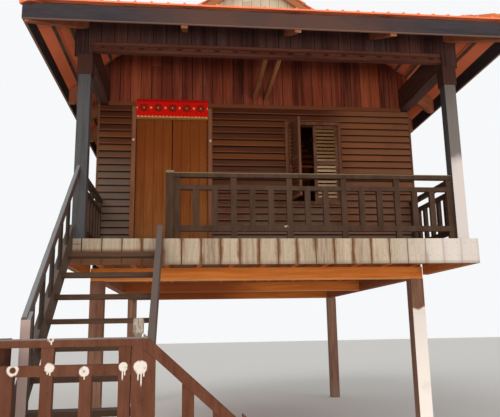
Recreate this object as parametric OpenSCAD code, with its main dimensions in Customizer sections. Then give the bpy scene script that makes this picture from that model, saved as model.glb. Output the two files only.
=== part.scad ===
// Timber house on stilts with a front veranda, a stair with a landing and a hipped roof with gablets.
// Origin: centre of the footprint on the ground. +Z up, the front faces -Y and +X is to its right.

/* [House body] */
// Distance between the left and right post centres
post_span = 4440; // [4200:20:4800]
// Outside length of the house body, front wall to rear wall
body_depth = 5240; // [4800:20:6400]
// From the veranda post centres back to the front wall
veranda_depth = 1450; // [1200:10:1800]
// Height of the floor above the ground
deck_height = 2500; // [2200:10:2900]
// Thickness of the walls
wall_t = 100; // [80:5:120]
// Height of the weatherboards above the floor, up to the side plates
wall_head = 2180; // [2180:10:2300]
// Height of one weatherboard course
board_course = 99; // [80:1:140]
// How far a weatherboard stands out over the one below
board_lap = 14; // [8:1:18]
// Width of one upright wall board
upright_board = 150; // [110:5:200]

/* [Ground frame] */
// Side of the square ground posts
ground_post = 180; // [140:5:220]
// Height of the girders and side beams
girder_h = 170; // [140:5:200]
// Width of the girders and side beams
girder_w = 120; // [90:5:140]
// Height of the floor joists
joist_h = 140; // [100:5:160]
// Width of one joist
joist_w = 60; // [45:5:80]
// Number of joists
joist_n = 11; // [8:1:13]

/* [Door and window] */
// Clear width of the doorway
door_w = 1020; // [900:10:1060]
// Clear height of the doorway
door_h = 2070; // [1950:10:2090]
// From the left post centre to the middle of the doorway
door_from_post = 974; // [930:2:1040]
// Width of one door plank
door_plank = 125; // [90:5:170]
// Clearance between a door leaf and its frame
leaf_gap = 6; // [6:0.5:10]
// Clearance between the two door leaves
leaf_meet = 12; // [12:1:16]
// Width of the window opening
win_w = 743; // [600:1:900]
// Height of the window opening
win_h = 1150; // [900:10:1200]
// Height of the window sill above the floor
win_sill = 768; // [600:1:900]
// From the right post centre to the middle of the window
win_from_post = 1424; // [1300:2:1540]
// Angle at which the open window leaf stands
shutter_angle = 77; // [60:1:85]
// Distance between the louvre slats
slat_pitch = 50; // [40:1:70]

/* [Veranda] */
// Side of the square veranda posts
veranda_post = 140; // [110:5:160]
// Height of the handrail above the deck
rail_h = 780; // [700:10:900]
// Number of bays in the front balustrade
front_bays = 5; // [4:1:6]
// Height of the skirt boards
skirt_h = 290; // [250:5:310]
// Width of one skirt board
skirt_board = 217; // [150:1:300]
// Overhang of the deck beyond the post centres at the sides
deck_side = 166; // [140:2:200]
// Distance between the pierced holes of the tie beam
pierced_pitch = 230; // [180:5:300]

/* [Roof] */
// Overhang of the roof in front of the post centres
eave_front = 805; // [600:5:900]
// Overhang of the roof beside the post centres
eave_side = 530; // [450:5:650]
// Pitch of the side slopes in degrees
side_pitch = 35; // [33:0.5:37]
// Pitch of the front and rear slopes in degrees
front_pitch = 25; // [23:0.5:27]
// Height of the fascia boards
fascia_h = 172; // [150:2:190]
// Height of the fascia's lower edge above the side plates' underside
fascia_rise = 33; // [20:1:50]
// Vertical thickness of the tiled slopes
roof_t = 70; // [60:5:90]
// Depth of the rafters
rafter_h = 195; // [150:5:200]
// Number of rafter pairs between the two gablets
side_rafters = 5; // [4:1:6]
// Radius of the round caps on the hips and the ridge
cap_r = 95; // [80:5:110]

/* [Stair] */
// Width of the treads between the stringers
tread_w = 910; // [800:5:940]
// Horizontal step from tread to tread
going = 253; // [235:1:270]
// Risers from the landing up to the deck
risers_up = 8; // [7:1:9]
// Risers from the ground up to the landing
risers_low = 3; // [2:1:4]
// Depth of the landing from back to front
landing_d = 820; // [760:10:900]
// How far the landing reaches past the stair on the left
landing_side = 85; // [60:5:120]
// Uprights between the head and the foot of the stair's handrail
hand_uprights = 5; // [3:1:7]

/* [Hidden] */
$fn = 48;
// cutters reach this far past a face
e = 1;
// gap at which one piece rests on a sloping or turning one
seat = 0.3;
// longer than the whole house
far = 20000;

dz = deck_height;
px = post_span / 2;
half_post = veranda_post / 2;
// house body
bx = px + half_post;
yf = veranda_depth;
yr = veranda_depth + body_depth;
rear_post_y = yr - half_post;
corner_t = 25;
upper_wall_t = 60;
groove = 5;
trim_h = 55;
// floor and its frame
floor_t = 30;
girder_top = dz - floor_t - joist_h;
girder_z = girder_top - girder_h;
girder_end = 90;
girder_in = 10;
beam_in = 30;
// deck edge
skirt_t = 30;
deck_x = px + deck_side;
deck_y = -90;
// side plates and head blocks
plate_w = 150;
plate_h = 320;
plate_z = dz + wall_head;
plate_top = plate_z + plate_h;
plate_x0 = px - plate_w / 2;
head_block = 170;
head_block_h = 240;
// tie beam, frieze and ceiling ties
tie_z = plate_z + 65;
tie_rail = 42;
tie_gap = 38;
tie_top = tie_z + 2 * tie_rail + tie_gap;
tie_deep = 70;
pierced_t = 24;
lens_r = 61;
lens_half = 15;
frieze_t = 30;
frieze_y = -45;
frieze_side = 130;
tie_batten_w = 50;
tie_batten_h = 90;
// roof
ts = tan(side_pitch);
tf = tan(front_pitch);
fascia_z = plate_z + fascia_rise;
eave_z = fascia_z + fascia_h;
fascia_t = 25;
lip = 40;
fx = px + eave_side;
fy0 = -eave_front;
fy1 = rear_post_y + eave_front;
y_mid_roof = (fy0 + fy1) / 2;
gablet_y = veranda_depth + 50;
gablet_t = 40;
gablet_strip = 200;
gablet_strip_t = 12;
verge = 120;
verge_y = gablet_y - verge;
verge_t = 25;
verge_h = 110;
ridge_z = eave_z + fx * ts;
// how far the roof layers are drawn past the eaves before they are cut
layer_over = 5 * lip;
cap_drop = 25;
rafter_t = 70;
ridge_board_t = 40;
ridge_board_h = 200;
// places of the front rafters as shares of half the post span
rafter_at = [-0.48, 0.08, 0.57];
// plan distance of the hip from the eave edge, side to front
hip_ratio = tf / ts;
// half thickness of a hip rafter, measured along x
hip_half = rafter_t / 2 * norm([hip_ratio, 1]);
// doorway
jamb = 60;
frame_out = 20;
sill_t = 20;
door_x = -px + door_from_post;
door_x0 = door_x - door_w / 2;
door_x1 = door_x + door_w / 2;
frame_x0 = door_x0 - jamb;
frame_x1 = door_x1 + jamb;
frame_top = dz + door_h + jamb;
leaf_t = 40;
leaf_in = 5;
leaf_y1 = yf + wall_t - leaf_in;
leaf_y0 = leaf_y1 - leaf_t;
banner_w = 1012;
banner_h = 308;
banner_t = 8;
// strap hinges
hinge_end = 255;
hinge_z = [dz + hinge_end, dz + door_h / 2, dz + door_h - hinge_end];
hinge_d = 12;
hinge_in = 2;
knuckle_r = 7;
knuckle_h = 45;
strap_t = 6;
strap_l = 330;
strap_bend = 34;
arm_t = 8;
// window
win_x = px - win_from_post;
win_x0 = win_x - win_w / 2;
win_x1 = win_x + win_w / 2;
win_z0 = dz + win_sill;
win_z1 = win_z0 + win_h;
win_jamb = 45;
win_leaf_gap = 6;
win_leaf_in = 10;
win_leaf_h = win_h - 2 * win_leaf_gap;
win_leaf_w = win_w / 2 - 5;
stile = 45;
mid_rail = 50;
win_leaf_t = 32;
slat_w = 36;
slat_t = 8;
slat_angle = 35;
slat_tenon = 4;
// balustrades
rail_t = 70;
top_rail_h = 55;
second_rail_z = 202;
second_rail_h = 52;
foot_rail_z = 95;
foot_rail_h = 65;
thin_rail_t = 50;
bal_w = 75;
bal_t = 45;
bal_waist = 5;
// landing and lower flight
riser = dz / (risers_up + risers_low);
slope = riser / going;
land_z = risers_low * riser;
land_back = deck_y - (risers_up - 1) * going;
land_front = land_back - landing_d;
// upper flight, whose top tread lies closer under the deck than the treads lie to each other
top_step = 0.81 * riser;
up_riser = (dz - land_z - top_step) / (risers_up - 1);
up_slope = up_riser / going;
string_t = 60;
string_top = 105;
string_low = 215;
string_foot = 60;
tread_t = 45;
tread_d = 185;
stair_x0 = -px - 45;
stair_x1 = stair_x0 + tread_w;
land_x0 = stair_x0 - string_t;
land_x1 = stair_x1 + string_t;
hand_top = 769;
hand_w = 45;
hand_h = 110;
hand_post = 74;
upright_w = 55;
upright_t = 45;
upright_down = 25;
foot_post_y = land_back - hand_post - 2;
// landing
land_left = land_x0 - landing_side;
land_t = 40;
land_leg = 90;
land_leg_in = 30;
bearer_t = 60;
bearer_h = 110;
land_newel = 72;
land_rail_y = land_front + 45;
land_bal_w = 85;
land_bal_t = 54;
// between a newel and the board beside it
land_gap = 3;
land_rail_drop = 234;
land_rail_h = 68;
finial_neck_h = 14;
finial_neck = 42;
finial_w = 65;
finial_h = 108;
finial_chamfer = 9;
newel_x = land_x1 + 115;
newel_w = 90;
newel_rise = 20;
// lower flight
low_string_h = 250;
low_string_top = 20;
low_in = 5;
low_y0 = land_front + low_in;
low_y1 = land_back - low_in;
low_hand_h = 90;
low_hand_w = 70;
low_post_x = land_x1 + risers_low * going - 120;
low_upright_w = 78;
low_post_top = 60;
// places of the lower handrail's uprights as shares of the way to its end post
low_upright_at = [0, 0.39, 0.7];
// whole footprint, centred on the origin
y_shift = -(land_front + fy1 + lip) / 2;

// Height of the underside of a side slope at distance x from the centre line
function side_z(x) = eave_z + (fx - abs(x)) * ts;
// Height of the underside of the front slope at y
function front_z(y) = eave_z + (y - fy0) * tf;
// Half width at which the side slope meets a given height
function side_x(z) = fx - (z - eave_z) / ts;
// Height of the line over the upper flight's tread edges at y
function nose_z(y) = dz - top_step + (y - deck_y + going) * up_slope;
// Half width of the hip at y, front half
function hip_x(y) = fx - (y - fy0) * hip_ratio;

// Points of a list without the first and the last
function inner(v) = [for (i = [1 : len(v) - 2]) v[i]];

// Zigzag of lapped boards from height z0 to z1, as the distance in from the outer face and the height
function laps(z0, z1) =
    let (n = round((z1 - z0) / board_course), p = (z1 - z0) / n)
    [for (i = [0 : n - 1], k = [0, 1]) [k * board_lap, z0 + (i + k) * p]];

// Outer edge of a row of upright boards from a to b, as the place along the row and the distance in
function boards(a, b, w) =
    let (n = max(1, round((b - a) / w)), p = (b - a) / n)
    [for (i = [0 : n])
        each (i == 0 || i == n) ? [[a + i * p, 0]]
            : [[a + i * p - groove, 0], [a + i * p, groove], [a + i * p + groove, 0]]];

module place() {
    translate([0, y_shift, 0]) children();
}

// Box from two corners
module box(x0, x1, y0, y1, z0, z1) {
    translate([x0, y0, z0]) cube([x1 - x0, y1 - y0, z1 - z0]);
}

// Outline drawn in x and z, extruded from y0 to y1
module elevation(y0, y1) {
    translate([0, y1, 0]) rotate([90, 0, 0]) linear_extrude(y1 - y0) children();
}

// Outline drawn in y and z, extruded from x0 to x1
module profile(x0, x1) {
    translate([x0, 0, 0]) rotate([90, 0, 90]) linear_extrude(x1 - x0) children();
}

// Outline drawn in x and y, extruded from z0 to z1
module plan(z0, z1) {
    translate([0, 0, z0]) linear_extrude(z1 - z0) children();
}

// The children and their copy across the centre line
module both_sides() {
    children();
    mirror([1, 0, 0]) children();
}

// Front half mirrored to the rear about the middle of the roof
module rear_copy() {
    translate([0, 2 * y_mid_roof, 0]) mirror([0, 1, 0]) children();
}

// Row of upright boards facing the front, from x0 to x1 and from y back to y + t
module upright_row(x0, x1, y, t, z0, z1, w) {
    plan(z0, z1)
    polygon(concat([for (p = boards(x0, x1, w)) [p[0], y + p[1]]], [[x1, y + t], [x0, y + t]]));
}

// Under the floor

module ground_posts() {
    color("#5a2a1c") place()
    for (s = [-1, 1], y = [yf, yr - ground_post])
        box(s * px - ground_post / 2, s * px + ground_post / 2, y, y + ground_post, 0, girder_z);
}

module floor_girders() {
    x = px + girder_end;
    color("#9a4a22") place() {
        box(-x, x, yf + girder_in, yf + girder_in + girder_w, girder_z, girder_top);
        box(-x, x, yr - girder_in - girder_w, yr - girder_in, girder_z, girder_top);
        box(-px + girder_end, px - girder_end, (yf + yr - girder_w) / 2, (yf + yr + girder_w) / 2,
            girder_z, girder_top);
    }
}

module side_beams() {
    color("#8a4526") place() both_sides()
    box(px - beam_in - girder_w / 2, px - beam_in + girder_w / 2,
        yf + girder_in + girder_w, yr - girder_in - girder_w, girder_z, girder_top);
}

module floor_joists() {
    x0 = bx - wall_t - joist_w / 2;
    color("#a05428") place()
    for (i = [0 : joist_n - 1])
        let (x = -x0 + 2 * x0 * i / (joist_n - 1))
        box(x - joist_w / 2, x + joist_w / 2, deck_y + skirt_t, yr - wall_t, girder_top, dz - floor_t);
}

module house_floor() {
    x = bx - wall_t;
    color("#7a4a34") place() plan(dz - floor_t, dz)
    polygon([[-bx + corner_t, yf], [bx - corner_t, yf], [bx - corner_t, yf + wall_t], [x, yf + wall_t],
             [x, yr - wall_t], [-x, yr - wall_t], [-x, yf + wall_t], [-bx + corner_t, yf + wall_t]]);
}

module veranda_deck() {
    color("#8b7a6a") place()
    box(-deck_x + skirt_t, deck_x - skirt_t, deck_y + skirt_t, yf, dz - floor_t, dz);
}

module deck_skirt() {
    in_x = deck_x - skirt_t;
    in_y = deck_y + skirt_t;
    color("#b3a58f") place() plan(dz - skirt_h, dz)
    polygon(concat(
        [for (p = boards(-yf, -deck_y, skirt_board)) [-deck_x + p[1], -p[0]]],
        [for (p = inner(boards(-deck_x, deck_x, skirt_board))) [p[0], deck_y + p[1]]],
        [for (p = boards(deck_y, yf, skirt_board)) [deck_x - p[1], p[0]]],
        [[in_x, yf], [in_x, in_y], [-in_x, in_y], [-in_x, yf]]));
}

// Veranda

module veranda_posts() {
    b = head_block / 2;
    color("#4d4a49") place() both_sides() {
        box(px - half_post, px + half_post, -half_post, half_post, dz, plate_z - head_block_h);
        box(px - b, px + b, -b, b, plate_z - head_block_h, plate_z);
    }
}

// Flat baluster with a slight waist, of width b and thickness t, from z0 to z1
module baluster(x, z0, z1, b = bal_w, t = bal_t) {
    h = b / 2;
    w = h - bal_waist;
    dip = (z1 - z0) / 8;
    elevation(-t / 2, t / 2)
    polygon([[x - h, z0], [x + h, z0], [x + w, z0 + dip], [x + w, z1 - dip], [x + h, z1], [x - h, z1],
             [x - w, z1 - dip], [x - w, z0 + dip]]);
}

// Handrail, second rail with its underside at drop below the handrail's top, and foot rail, from x0 to x1
module rails(x0, x1, z, drop, h) {
    box(x0, x1, -rail_t / 2, rail_t / 2, z + rail_h - top_rail_h, z + rail_h);
    box(x0, x1, -thin_rail_t / 2, thin_rail_t / 2, z + rail_h - drop, z + rail_h - drop + h);
    box(x0, x1, -thin_rail_t / 2, thin_rail_t / 2, z + foot_rail_z, z + foot_rail_z + foot_rail_h);
}

// Rails, posts and balusters of one balustrade that runs along x from x0 to x1 at height z
module balustrade(x0, x1, n, z) {
    pitch = (x1 - x0 - bal_w) / n;
    low = z + foot_rail_z + foot_rail_h / 2;
    high = z + rail_h - second_rail_z + second_rail_h / 2;
    rails(x0, x1, z, second_rail_z, second_rail_h);
    for (i = [0 : n])
        baluster(x0 + bal_w / 2 + pitch * i, z, z + rail_h - top_rail_h / 2);
    for (i = [0 : n - 1], k = [1, 2])
        baluster(x0 + bal_w / 2 + pitch * (i + k / 3), low, high);
}

module front_balustrade() {
    color("#4a423d") place() {
        balustrade(newel_x, px - half_post, front_bays, dz);
        // second newel beside the head of the stair
        box(newel_x - newel_w, newel_x + e, -newel_w / 2, newel_w / 2, dz, dz + rail_h + newel_rise);
    }
}

module side_balustrades() {
    color("#4a423d") place() both_sides()
    translate([px, 0, 0]) rotate([0, 0, 90]) balustrade(half_post, yf, 2, dz);
}

// Walls

// Lapped boards facing the front, between x0 and x1
module front_boards(x0, x1, z0, z1) {
    profile(x0, x1)
    polygon(concat([for (p = laps(z0, z1)) [yf + p[0], p[1]]], [[yf + wall_t, z1], [yf + wall_t, z0]]));
}

module wall_left_of_door() {
    color("#6b3a2c") place() front_boards(-bx + corner_t, frame_x0, dz, plate_z);
}

module wall_over_door() {
    color("#5e2c20") place() upright_row(frame_x0, frame_x1, yf, wall_t, frame_top, plate_z, upright_board);
}

module wall_right_of_door() {
    color("#6b3a2c") place() difference() {
        front_boards(frame_x1, bx - corner_t, dz, plate_z);
        box(win_x0 - win_jamb, win_x1 + win_jamb, yf - e, yf + wall_t + e,
            win_z0 - win_jamb, win_z1 + win_jamb);
    }
}

// Outline of a wall that closes the roof between the plates, up to the height top
function roof_outline(top) = [
    [-plate_x0, plate_z], [plate_x0, plate_z], [plate_x0, plate_top], [bx, plate_top],
    [bx, min(side_z(bx), top)], [min(bx, side_x(top)), top],
    [-min(bx, side_x(top)), top], [-bx, min(side_z(bx), top)], [-bx, plate_top], [-plate_x0, plate_top]];

// Upright boards that close the roof, facing the front at y
module upper_wall(y) {
    intersection() {
        upright_row(-bx, bx, y, upper_wall_t, plate_z, front_z(y) + e, upright_board);
        elevation(y - e, y + upper_wall_t + e) polygon(roof_outline(front_z(y)));
    }
}

module upper_front_wall() {
    color("#57241b") place() {
        upper_wall(yf);
        // trim board between the upright boards and the weatherboards
        box(-plate_x0, plate_x0, yf - frame_out, yf, plate_z - trim_h / 2, plate_z + trim_h / 2);
        box(-plate_x0, plate_x0, yf - e, yf + groove, plate_z, plate_z + trim_h / 2);
    }
}

// Right wall with its corner strips
module side_wall() {
    x = bx - wall_t;
    elevation(yf + wall_t, yr - wall_t)
    polygon(concat([for (p = laps(girder_top, plate_z)) [bx - p[0], p[1]]], [[x, plate_z], [x, girder_top]]));
    for (y = [yf, yr - wall_t - e])
        box(bx - corner_t, bx, y, y + wall_t + e, girder_top, plate_z);
}

module right_wall() {
    color("#6b3a2c") place() side_wall();
}

module left_wall() {
    color("#6b3a2c") place() mirror([1, 0, 0]) side_wall();
}

module rear_wall() {
    color("#6b3a2c") place() profile(-bx + corner_t, bx - corner_t)
    polygon(concat([for (p = laps(girder_top, plate_z)) [yr - p[0], p[1]]],
                   [[yr - wall_t, plate_z], [yr - wall_t, girder_top]]));
}

module upper_rear_wall() {
    color("#57241b") place() rear_copy() difference() {
        upper_wall(2 * y_mid_roof - yr);
        front_rafters(gablet_y, seat);
        both_sides() hip_rafter(gablet_y, seat);
    }
}

// Plates, tie beam and frieze

module side_plates() {
    color("#3f2a22") place() both_sides()
    box(plate_x0, plate_x0 + plate_w, frieze_y + frieze_t, yr, plate_z, plate_top);
}

// Outline of one pierced hole
module lens() {
    intersection() {
        translate([0, lens_half - lens_r]) circle(r = lens_r);
        translate([0, lens_r - lens_half]) circle(r = lens_r);
    }
}

module front_tie_beam() {
    n = round(2 * plate_x0 / pierced_pitch);
    p = 2 * plate_x0 / n;
    y = tie_deep / 2;
    color("#4a2c24") place() {
        box(-plate_x0, plate_x0, -y, y, tie_z, tie_z + tie_rail);
        box(-plate_x0, plate_x0, -y, y, tie_top - tie_rail, tie_top);
        elevation(-pierced_t / 2, pierced_t / 2)
        difference() {
            translate([-plate_x0, tie_z + tie_rail / 2]) square([2 * plate_x0, tie_gap + tie_rail]);
            for (i = [0 : n - 1])
                translate([-plate_x0 + p * (i + 0.5), tie_z + tie_rail + tie_gap / 2]) lens();
        }
    }
}

module front_frieze() {
    x = px + frieze_side;
    top = front_z(frieze_y);
    color("#3a2a28") place()
    difference() {
        intersection() {
            upright_row(-x, x, frieze_y, frieze_t, plate_z, top + e, upright_board);
            elevation(frieze_y - e, frieze_y + frieze_t + e)
            polygon([[-x, plate_z], [-plate_x0, plate_z], [-plate_x0, tie_top], [plate_x0, tie_top],
                     [plate_x0, plate_z], [x, plate_z], [x, min(side_z(x), top)], [min(x, side_x(top)), top],
                     [-min(x, side_x(top)), top], [-x, min(side_z(x), top)]]);
        }
        front_rafters(yf, seat);
        both_sides() hip_rafter(yf, seat);
    }
}

module ceiling_ties() {
    color("#6a3d26") place()
    for (x = [-60, 110])
        box(x - tie_batten_w / 2, x + tie_batten_w / 2, tie_deep / 2, yf, tie_top - tie_batten_h, tie_top);
}

// Door

// Lower knuckles of the strap hinges, on the frame at the left of the doorway
module frame_knuckles() {
    a = door_x0 + hinge_in;
    y = yf + wall_t;
    for (z = hinge_z) {
        box(a - strap_bend, a, y - e, y + hinge_d + arm_t / 2, z - knuckle_h, z);
        translate([a, y + hinge_d, z - knuckle_h]) cylinder(r = knuckle_r, h = knuckle_h);
    }
}

// Left leaf of upright planks with its straps and upper knuckles
module door_leaf() {
    a = door_x0 + hinge_in;
    y = yf + wall_t + hinge_d;
    upright_row(door_x0 + leaf_gap, door_x - leaf_meet / 2, leaf_y0, leaf_t, dz + sill_t + leaf_gap,
                dz + door_h - leaf_gap, door_plank);
    for (z = [for (h = hinge_z) h + seat]) {
        translate([a, y, z]) cylinder(r = knuckle_r, h = knuckle_h);
        box(a, a + strap_bend, y - arm_t / 2, y + arm_t / 2, z, z + knuckle_h);
        box(a + strap_bend - arm_t, a + strap_bend, leaf_y1 - e, y + arm_t / 2, z, z + knuckle_h);
        box(a + strap_bend - arm_t, a + strap_l, leaf_y1 - e, leaf_y1 + strap_t, z, z + knuckle_h);
    }
}

// Copy across the middle of the doorway
module door_copy() {
    translate([2 * door_x, 0, 0]) mirror([1, 0, 0]) children();
}

module door_frame() {
    y0 = yf - frame_out;
    color("#6a3020") place() {
        difference() {
            box(frame_x0, frame_x1, y0, yf + wall_t, dz, frame_top);
            box(door_x0, door_x1, y0 - e, yf + wall_t + e, dz + sill_t, frame_top - jamb);
        }
        frame_knuckles();
        door_copy() frame_knuckles();
    }
}

module door_leaf_left() {
    color("#7a2f18") place() door_leaf();
}

module door_leaf_right() {
    color("#7a2f18") place() door_copy() door_leaf();
}

module door_banner() {
    y = yf - frame_out;
    z = frame_top - 184;
    color("#c01818") place()
    box(door_x - banner_w / 2, door_x + banner_w / 2, y - banner_t, y, z, z + banner_h);
}

// Window

module window_frame() {
    y0 = yf - frame_out;
    color("#5e2c20") place() difference() {
        box(win_x0 - win_jamb, win_x1 + win_jamb, y0, yf + wall_t, win_z0 - win_jamb, win_z1 + win_jamb);
        box(win_x0, win_x1, y0 - e, yf + wall_t + e, win_z0, win_z1);
    }
}

// Louvred leaf from its hinge edge at the origin, reaching to +x, front face at y = 0
module window_leaf() {
    panel_w = win_leaf_w - 2 * stile;
    panel_h = (win_leaf_h - mid_rail) / 2 - stile;
    n = floor(panel_h / slat_pitch);
    p = panel_h / n;
    starts = [stile, (win_leaf_h + mid_rail) / 2];
    difference() {
        cube([win_leaf_w, win_leaf_t, win_leaf_h]);
        for (z = starts)
            translate([stile, -e, z]) cube([panel_w, win_leaf_t + 2 * e, panel_h]);
    }
    for (z = starts, i = [0 : n - 1])
        translate([stile - slat_tenon, win_leaf_t / 2, z + p * (i + 0.5)]) rotate([-slat_angle, 0, 0])
        translate([0, -slat_w / 2, -slat_t / 2]) cube([panel_w + 2 * slat_tenon, slat_w, slat_t]);
}

module closed_window_leaf() {
    color("#5a2d22") place()
    translate([win_x1, yf + win_leaf_in, win_z0 + win_leaf_gap]) mirror([1, 0, 0]) window_leaf();
}

module open_window_leaf() {
    color("#5a2d22") place()
    translate([win_x0, yf - frame_out, win_z0 + win_leaf_gap]) rotate([0, 0, -shutter_angle]) window_leaf();
}

// Stair

// Slab parallel to the upper flight, between two heights over its tread edges, from y0 to y1
module sloped(x0, x1, y0, y1, lo, hi) {
    profile(x0, x1)
    polygon([[y0, nose_z(y0) + lo], [y1, nose_z(y1) + lo], [y1, nose_z(y1) + hi], [y0, nose_z(y0) + hi]]);
}

module stair_stringers() {
    y = land_back - string_foot;
    color("#5d4d47") place()
    for (x = [land_x0, stair_x1])
        intersection() {
            sloped(x, x + string_t, land_front, deck_y, -string_low, string_top);
            box(x - e, x + string_t + e, y, deck_y, land_z, dz + rail_h);
        }
}

module stair_treads() {
    color("#5d4d47") place()
    for (i = [1 : risers_up - 1])
        let (y = deck_y - i * going, z = nose_z(y))
        box(stair_x0, stair_x1, y, y + tread_d, z - tread_t, z);
}

module stair_handrail() {
    // run from the head to the foot post, divided evenly by the uprights
    step = (foot_post_y + half_post) / (hand_uprights + 1);
    color("#4a413c") place() {
        // foot post on the landing, cut along the rail's top
        intersection() {
            box(stair_x0, stair_x0 + hand_post, foot_post_y, foot_post_y + hand_post, land_z, dz);
            sloped(stair_x0 - e, stair_x0 + hand_post + e, foot_post_y - e, deck_y, -far, hand_top);
        }
        // rail
        sloped(stair_x0, stair_x0 + hand_w, foot_post_y, -half_post, hand_top - hand_h, hand_top);
        // uprights on the stringer, bolted to the outer side of the rail
        for (i = [1 : hand_uprights])
            let (y = -half_post + i * step)
            sloped(stair_x0 - upright_w, stair_x0, y, y + upright_t, string_top + seat,
                   hand_top - upright_down);
    }
}

// Landing and lower flight

module landing() {
    legs_y = [land_front + land_leg_in, land_back - land_leg_in - land_leg];
    under = land_z - land_t;
    color("#6a5348") place() {
        box(land_left, land_x1, land_front, land_back, under, land_z);
        for (y = legs_y) {
            box(land_left, land_x1, y, y + bearer_t, under - bearer_h, under + e);
            for (x = [land_left, land_x1 - land_leg])
                box(x, x + land_leg, y, y + land_leg, 0, under - bearer_h + e);
        }
    }
}

// Outline of a finial over x = a: a narrow neck and a block with its top edges cut off
module finial_outline(a, top) {
    n = finial_neck / 2;
    w = finial_w / 2;
    c = w - finial_chamfer;
    z0 = top + finial_neck_h;
    z1 = z0 + finial_h;
    right = [[n, top - e], [n, z0], [w, z0 + finial_neck_h], [w, z1 - finial_chamfer], [c, z1]];
    left = [for (i = [len(right) - 1 : -1 : 0]) [-right[i][0], right[i][1]]];
    polygon([for (p = concat(right, left)) [a + p[0], p[1]]]);
}

// Square newel as high as the handrail, with a block finial on a neck
module newel(x, y, z) {
    w = land_newel / 2;
    top = z + rail_h;
    box(x - w, x + w, y - w, y + w, z, top);
    intersection() {
        elevation(y - w, y + w) finial_outline(x, top);
        profile(x - w, x + w) finial_outline(y, top);
    }
}

// Handrail, second rail, a whole board beside the newel at x1 and at half way, and short balusters between
module landing_row(x0, x1) {
    board = x1 - land_newel / 2 - land_gap - land_bal_w / 2;
    pitch = (board - x0) / 4;
    low = land_z + foot_rail_z + foot_rail_h / 2;
    high = land_z + rail_h - land_rail_drop + land_rail_h / 2;
    rails(x0, x1, land_z, land_rail_drop, land_rail_h);
    for (i = [0, 2])
        baluster(board - i * pitch, land_z, land_z + rail_h - top_rail_h / 2, land_bal_w, land_bal_t);
    for (i = [1, 3])
        baluster(board - i * pitch, low, high, land_bal_w, land_bal_t);
}

module landing_balustrade() {
    w = land_newel / 2;
    left = land_left + w;
    right = land_x1 - w;
    color("#6b4030") place() {
        translate([0, land_rail_y, 0]) landing_row(left, right);
        for (x = [left, right])
            newel(x, land_rail_y, land_z);
        translate([left, 0, 0]) rotate([0, 0, 90]) landing_row(land_rail_y, land_back - w);
        box(left - w, left + w, land_back - 2 * w, land_back, land_z, land_z + rail_h);
    }
}

module lower_stringers() {
    z1 = land_z + low_string_top;
    color("#6a5348") place()
    for (y = [low_y0, low_y1 - string_t])
        intersection() {
            elevation(y, y + string_t)
            polygon([[land_x1, z1], [land_x1 + far, z1 - far * slope],
                     [land_x1 + far, z1 - low_string_h - far * slope], [land_x1, z1 - low_string_h]]);
            box(land_x1, land_x1 + far, y - e, y + string_t + e, 0, land_z);
        }
}

module lower_treads() {
    color("#6a5348") place()
    for (i = [1 : risers_low - 1])
        let (x = land_x1 + (i - 1) * going, z = land_z - i * riser)
        box(x, x + going - 20, low_y0 + string_t, low_y1 - string_t, z - tread_t, z);
}

module lower_handrail() {
    y = low_y0 + string_t / 2;
    h = low_hand_w / 2;
    top = land_z + rail_h + low_string_top;
    foot = land_z + low_string_top + seat;
    color("#6b4030") place() {
        // sloping rail
        intersection() {
            elevation(y - h, y + h)
            polygon([[land_x1, top], [land_x1 + far, top - far * slope],
                     [land_x1 + far, top - low_hand_h - far * slope], [land_x1, top - low_hand_h]]);
            box(land_x1, low_post_x + e, y - h, y + h, 0, top);
        }
        // end post and uprights on the stringer, cut to its slope
        for (u = [[low_post_x, land_newel, h, low_post_top],
                  for (k = low_upright_at)
                      [land_x1 + k * (low_post_x - land_x1), low_upright_w, bal_t / 2, e - low_hand_h]])
            let (a = u[0] - land_x1, b = a + u[1])
            elevation(y - u[2], y + u[2])
            polygon([[u[0], foot - a * slope], [u[0] + u[1], foot - b * slope],
                     [u[0] + u[1], top - b * slope + u[3]], [u[0], top - a * slope + u[3]]]);
    }
}

// Roof

// Side slope on the right as a layer between two heights above its underside
module side_layer(lo, hi) {
    x = fx + layer_over;
    z = eave_z - layer_over * ts;
    elevation(fy0 - layer_over, fy1 + layer_over)
    polygon([[x, z + lo], [0, ridge_z + lo], [0, ridge_z + hi], [x, z + hi]]);
}

// Front slope as a layer between two heights above its underside
module front_layer(lo, hi) {
    y0 = fy0 - layer_over;
    y1 = gablet_y + 2 * layer_over;
    profile(-fx - layer_over, fx + layer_over)
    polygon([[y0, front_z(y0) + lo], [y1, front_z(y1) + lo], [y1, front_z(y1) + hi], [y0, front_z(y0) + hi]]);
}

module side_plan() {
    rear = 2 * y_mid_roof;
    y0 = fy0 - lip;
    polygon([[fx + lip, y0], [hip_x(y0), y0], [hip_x(verge_y), verge_y], [0, verge_y], [0, rear - verge_y],
             [hip_x(verge_y), rear - verge_y], [hip_x(y0), rear - y0], [fx + lip, rear - y0]]);
}

module front_plan() {
    y0 = fy0 - lip;
    a = side_x(front_z(verge_y) + roof_t + seat);
    b = side_x(front_z(gablet_y) + roof_t + seat);
    polygon([[-hip_x(y0), y0], [hip_x(y0), y0], [hip_x(verge_y), verge_y], [a, verge_y], [b, gablet_y],
             [-b, gablet_y], [-a, verge_y], [-hip_x(verge_y), verge_y]]);
}

module side_slope() {
    intersection() {
        side_layer(seat, roof_t);
        linear_extrude(far) side_plan();
    }
}

module right_roof_slope() {
    color("#a8442a") place() side_slope();
}

module left_roof_slope() {
    color("#a8442a") place() mirror([1, 0, 0]) side_slope();
}

module front_slope() {
    intersection() {
        front_layer(seat, roof_t);
        linear_extrude(far) front_plan();
    }
}

module front_roof_slope() {
    color("#a8442a") place() front_slope();
}

module rear_roof_slope() {
    color("#a8442a") place() rear_copy() front_slope();
}

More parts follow.
